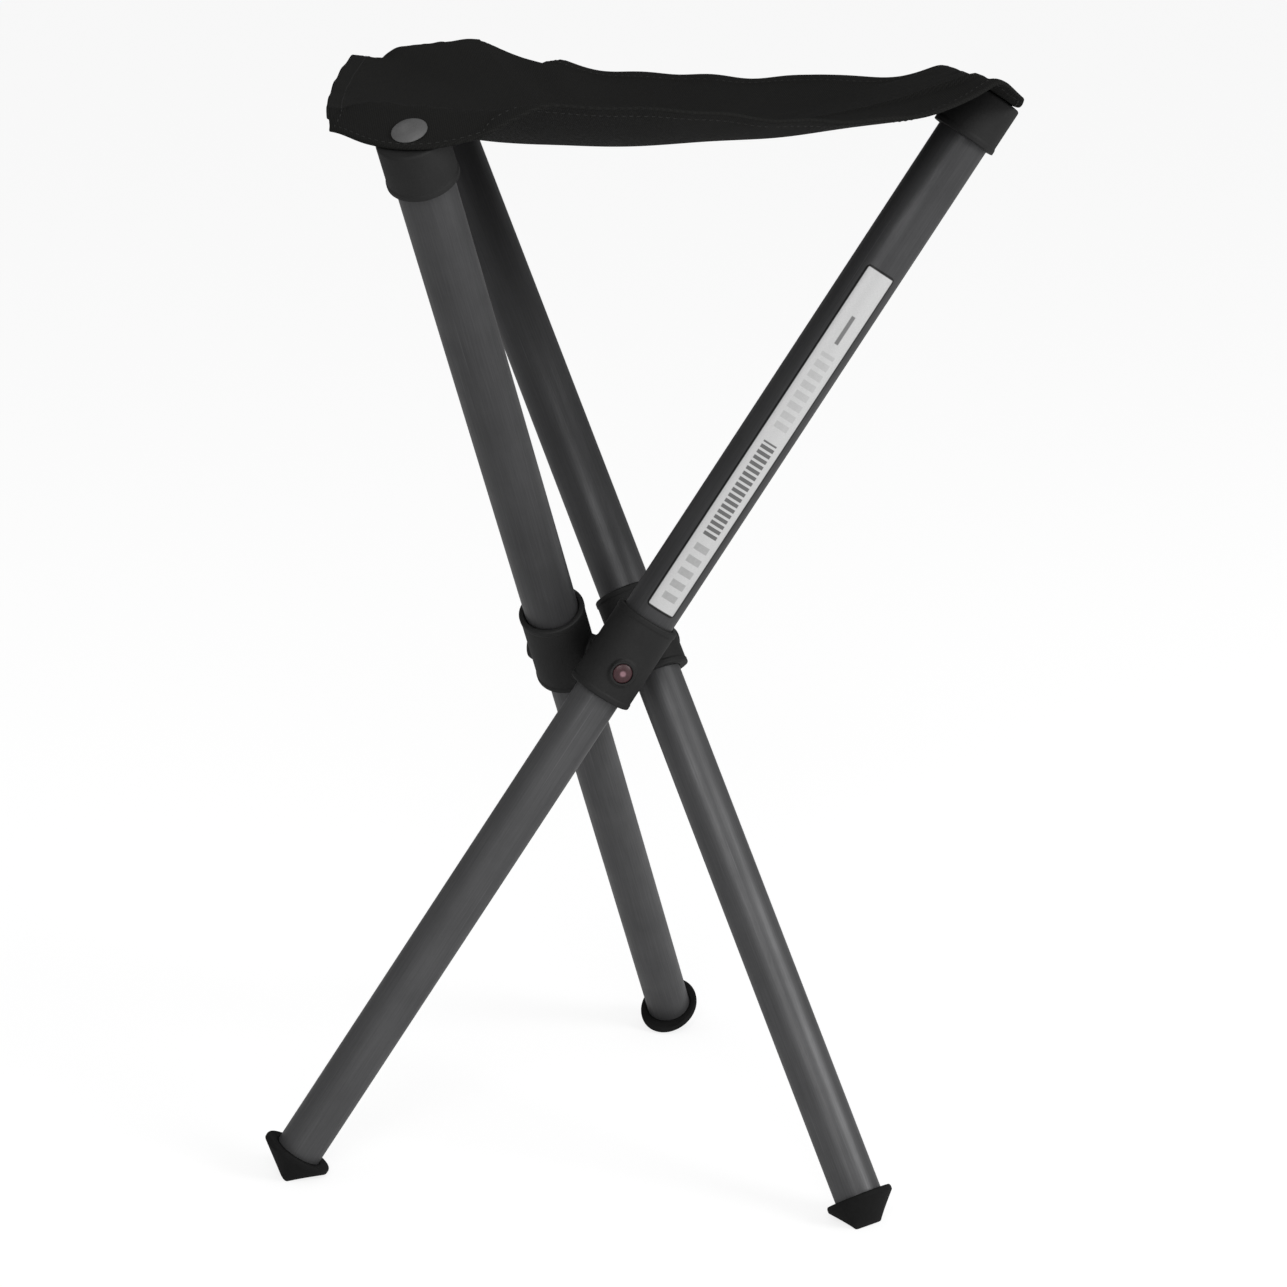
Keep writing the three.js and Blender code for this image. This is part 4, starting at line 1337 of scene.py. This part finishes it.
class STOOL_OT_add_seat_rivets(bpy.types.Operator):
    """Add the broad rivets that hold the cloth to the caps"""

    bl_idname = "stool.add_seat_rivets"
    bl_label = "Seat rivets"

    def execute(self, context):
        _, colours = choices(context)
        paint = {"metallic": 0.3, "roughness": 0.5}
        finish = finish_once("rivet_paint", metal_finish, colours.rivet, **paint)
        for leg in LEGS:
            rivet = turned(rivet_profile(leg), SMALL_SIDES, wrap=False)
            add_leg_piece(leg, "rivet_head", [rivet], finish, "leg", "seat_rivet")
        return {"FINISHED"}


# Feet
FOOT_EDGE = 0.5 * MM
FOOT_SOCKET_GAP = 0.4 * MM
FOOT_CUP = 0.7 * MM
FOOT_CREST_DROP = 0.2 * MM
FOOT_FLANGE = 1.9 * MM
FOOT_PLUG = 25 * MM
FOOT_PLUG_ROUND = 1.4 * MM
FOOT_TIP_LENGTH = 11.5 * MM
FOOT_TIP_SHIFT = 0.7 * MM
FOOT_TIP_HALF_WIDTH = 7.5 * MM
FOOT_TIP_HALF_DEPTH = 2.2 * MM
FOOT_TIP_ROUND = 1.2 * MM
FOOT_ROWS = 22
DUST_HEIGHT = 9 * MM


def foot_shell(leg):
    """A round plug, an oval cupped flange and a wedge, ring by ring (p cos a, s + q sin a, h):
    the half axes p and q and the shift s run in even steps from the flange's to the tip's. What
    would lie below the floor is pressed level with it."""
    points = seen_from_leg(node_points(f"foot_{leg}"), leg)
    width, depth = np.abs(points[:, :2]).max(axis=0)
    tube_bore, tube_radius, tube_bottom, _ = round_span(f"inner_tube_{leg}")
    seat = tube_bottom - CLEARANCE
    plug = tube_bore - CLEARANCE
    low = seat - FOOT_FLANGE
    tip = low - FOOT_TIP_LENGTH
    socket = tube_radius + FOOT_SOCKET_GAP
    cup = socket + FOOT_EDGE
    profile = rounded([
        (0.0, 0.0, seat + FOOT_PLUG, 0.0), (plug, plug, seat + FOOT_PLUG, FOOT_PLUG_ROUND),
        (plug, plug, seat, CRISP), (socket, socket, seat, CRISP),
        (cup, cup, seat + FOOT_EDGE, FINE),
        (width - FOOT_EDGE, depth - FOOT_EDGE, seat + FOOT_CUP, FOOT_EDGE),
        (width, depth, seat - FOOT_CREST_DROP, FOOT_EDGE), (width, depth, low, FOOT_EDGE),
        (FOOT_TIP_HALF_WIDTH, FOOT_TIP_HALF_DEPTH, tip, FOOT_TIP_ROUND), (0.0, 0.0, tip, 0.0),
    ], wrap=False)
    share = np.linspace(0, 1, FOOT_ROWS)[1:-1, None]
    fall = int(np.argmax(profile[:, 2] < low - FOOT_TIP_ROUND / 2))
    between = profile[fall - 1] + (profile[fall] - profile[fall - 1]) * share
    profile = np.vstack([profile[:fall], between, profile[fall:]])
    angle = circle(SMALL_SIDES)
    shift = FOOT_TIP_SHIFT * np.clip((low - profile[:, 2:]) / FOOT_TIP_LENGTH, 0, 1)
    x = profile[:, :1] * np.cos(angle)
    y = shift + profile[:, 1:2] * np.sin(angle)
    z = np.broadcast_to(profile[:, 2:], x.shape)
    placed = from_leg(np.stack([x, y, z], -1), leg)
    placed[..., 2] = np.maximum(placed[..., 2], 0.0)
    return shell(placed, distances(profile, False), girth(SMALL_SIDES, width), False, True)


class STOOL_OT_add_feet(bpy.types.Operator):
    """Add the rubber feet, worn level where they meet the floor"""

    bl_idname = "stool.add_feet"
    bl_label = "Feet"

    def execute(self, context):
        _, colours = choices(context)
        finish = finish_once("dusty_rubber", rubber_finish, colours.rubber, DUST_HEIGHT)
        for leg in LEGS:
            foot = new_object(f"rubber_foot_{leg}", [foot_shell(leg)], finish)
            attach(foot, f"inner_leg_{leg}")
            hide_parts(f"foot_{leg}")
        return {"FINISHED"}


class STOOL_OT_finish_inner_pieces(bpy.types.Operator):
    """Give the hub, the hinge pieces and the pieces inside the legs their finishes"""

    bl_idname = "stool.finish_inner_pieces"
    bl_label = "Hub and inner pieces"

    def execute(self, context):
        _, colours = choices(context)
        moulding = finish_once("textured_moulding", moulding_finish, colours.moulding)
        plating = {"metallic": 0.9, "roughness": 0.35}
        steel = finish_once("plated_steel", metal_finish, colours.steel, **plating)
        nylon = finish_once("pale_guide_plastic", moulding_finish, colours.guide)
        finishes = {
            "hub_core": moulding, "pivot_rivet": steel, "pivot_washer": nylon,
            "slide_bush": nylon, "lock_spring": steel,
        }
        for name, node in frame["nodes"].items():
            finish = finishes.get(name.rstrip("_123"))
            if finish and not node.hide_render:
                node.data.materials.clear()
                node.data.materials.append(finish)
        return {"FINISHED"}


# Stage: the camera's place and turn were measured from the photograph, from the hub's centre
CAMERA_FROM_HUB = np.array([-274.92, -1627.13, 438.09]) * MM
CAMERA_YAW = math.radians(-10.152)
CAMERA_PITCH = math.radians(14.729)
CAMERA_ROLL = math.radians(0.185)
CAMERA_LENS = 102.84
CAMERA_SENSOR = 36.0
FLOOR_HALF_SIZE = 14.0
FLOOR_GREY = 0.72
FLOOR_LIFT = 0.6
FLOOR_GLOW = 1.32
SKY_LEVEL = 0.5
SKY_GLOSS_LEVEL = 0.2
WHITE = (1, 1, 1, 1)

# Each lamp's name, its place from the hub's centre and its width in metres, and its watts
LAMPS = (
    ("front_lamp", (-0.5, -2.1, 1.4), 1.2, 20),
    ("right_lamp", (1.7, -1.4, 1.0), 1.0, 26),
    ("top_lamp", (0.2, -0.3, 2.1), 1.6, 2),
)


def add_floor():
    """A flat pale floor that shows near white and keeps a faint shadow."""
    corners = np.array([[-1, -1, 0], [1, -1, 0], [1, 1, 0], [-1, 1, 0]], float) * FLOOR_HALF_SIZE
    mesh = bpy.data.meshes.new("floor")
    mesh.from_pydata(corners.tolist(), [], [(0, 1, 2, 3)])
    grey = (FLOOR_GREY, FLOOR_GREY, FLOOR_GREY, 1)
    paper = {"Base Color": grey, "Roughness": 0.9, "Specular IOR Level": 0.1}
    finish = Finish("floor_paper", paper)
    seen = finish.node("ShaderNodeLightPath", {}, {})["Is Camera Ray"]
    glow = finish.node("ShaderNodeEmission", {}, {"Color": WHITE, "Strength": FLOOR_GLOW})
    lit = Value(finish, finish.shader.outputs[0])
    sockets = {0: seen * FLOOR_LIFT, 1: lit, 2: glow["Emission"]}
    mixed = finish.node("ShaderNodeMixShader", {}, sockets)["Shader"]
    finish.feed(finish.tree.nodes["Material Output"].inputs["Surface"], mixed)
    mesh.materials.append(finish.material)
    linked("floor", mesh)


def add_sky():
    """White to the camera, a plain soft grey as light, and dark in reflections."""
    world = bpy.data.worlds.new("studio")
    bpy.context.scene.world = world
    world.use_nodes = True
    sky = Nodes(world.node_tree)
    paths = sky.node("ShaderNodeLightPath", {}, {})
    light = paths["Is Glossy Ray"] * (SKY_GLOSS_LEVEL - SKY_LEVEL) + SKY_LEVEL
    background = sky.tree.nodes["Background"]
    sky.feed(background.inputs["Color"], WHITE)
    sky.feed(background.inputs["Strength"], paths["Is Camera Ray"] * (1 - light) + light)


def aim(thing, right, up, back, from_hub):
    """Put a lamp or the camera at a place from the hub's centre, turned to look away from back."""
    place = np.eye(4)
    place[:3, :3] = np.array([right, up, back]).T
    place[:3, 3] = hub_centre + from_hub
    thing.matrix_world = Matrix(place.tolist())


def add_lamp(name, from_hub, width, watts):
    """A square soft lamp that faces the hub: back is its way from the hub, side is up x back."""
    data = bpy.data.lights.new(name, "AREA")
    data.shape = "SQUARE"
    data.size = width
    data.energy = watts
    back = unit(from_hub)
    side = unit(np.cross([0.0, 0.0, 1.0], back))
    aim(linked(name, data), side, np.cross(back, side), back, np.array(from_hub))


def add_camera():
    """The photograph's camera: yaw about Z, pitch down, then a slight roll."""
    right = np.array([math.cos(CAMERA_YAW), math.sin(CAMERA_YAW), 0])
    level = np.array([-math.sin(CAMERA_YAW), math.cos(CAMERA_YAW), 0])
    ahead = level * math.cos(CAMERA_PITCH) - np.array([0, 0, math.sin(CAMERA_PITCH)])
    up = np.cross(right, ahead)
    side = right * math.cos(CAMERA_ROLL) + up * math.sin(CAMERA_ROLL)
    top = up * math.cos(CAMERA_ROLL) - right * math.sin(CAMERA_ROLL)
    data = bpy.data.cameras.new("camera")
    data.lens = CAMERA_LENS
    data.sensor_width = CAMERA_SENSOR
    camera = linked("camera", data)
    aim(camera, side, top, -ahead, CAMERA_FROM_HUB)
    bpy.context.scene.camera = camera


class STOOL_OT_add_stage(bpy.types.Operator):
    """Add the floor, the soft lamps, the white surround and the camera"""

    bl_idname = "stool.add_stage"
    bl_label = "Stage"

    def execute(self, context):
        context.scene.view_settings.view_transform = "Standard"
        add_floor()
        add_sky()
        for lamp in LAMPS:
            add_lamp(*lamp)
        add_camera()
        return {"FINISHED"}


steps = (
    STOOL_OT_add_tubes,
    STOOL_OT_add_label,
    STOOL_OT_add_collars,
    STOOL_OT_add_buttons,
    STOOL_OT_add_caps,
    STOOL_OT_add_seat,
    STOOL_OT_add_seat_rivets,
    STOOL_OT_add_feet,
    STOOL_OT_finish_inner_pieces,
    STOOL_OT_add_stage,
)


class STOOL_PT_pieces(bpy.types.Panel):
    """Lists the stool's sizes, colours and pieces"""

    bl_idname = "STOOL_PT_pieces"
    bl_label = "Tripod stool"
    bl_space_type = "VIEW_3D"
    bl_region_type = "UI"
    bl_category = "Stool"

    def draw(self, context):
        for group in choices(context):
            box = self.layout.box()
            for name in group.bl_rna.properties.keys():
                if name not in ("rna_type", "name"):
                    box.prop(group, name)
        for step in steps:
            self.layout.operator(step.bl_idname)


classes = (StoolSizes, StoolColours) + steps + (STOOL_PT_pieces,)


def register():
    """Make the sizes, colours, operators and panel known to Blender."""
    for item in classes:
        bpy.utils.register_class(item)
    bpy.types.Scene.stool_sizes = bpy.props.PointerProperty(type=StoolSizes)
    bpy.types.Scene.stool_colours = bpy.props.PointerProperty(type=StoolColours)


def unregister():
    """Take them away again, the last one first."""
    del bpy.types.Scene.stool_colours
    del bpy.types.Scene.stool_sizes
    for item in reversed(classes):
        bpy.utils.unregister_class(item)


def main():
    """Build every piece and the stage."""
    register()
    for step in steps:
        getattr(bpy.ops.stool, step.bl_idname.removeprefix("stool."))()


if __name__ == "__main__":
    main()
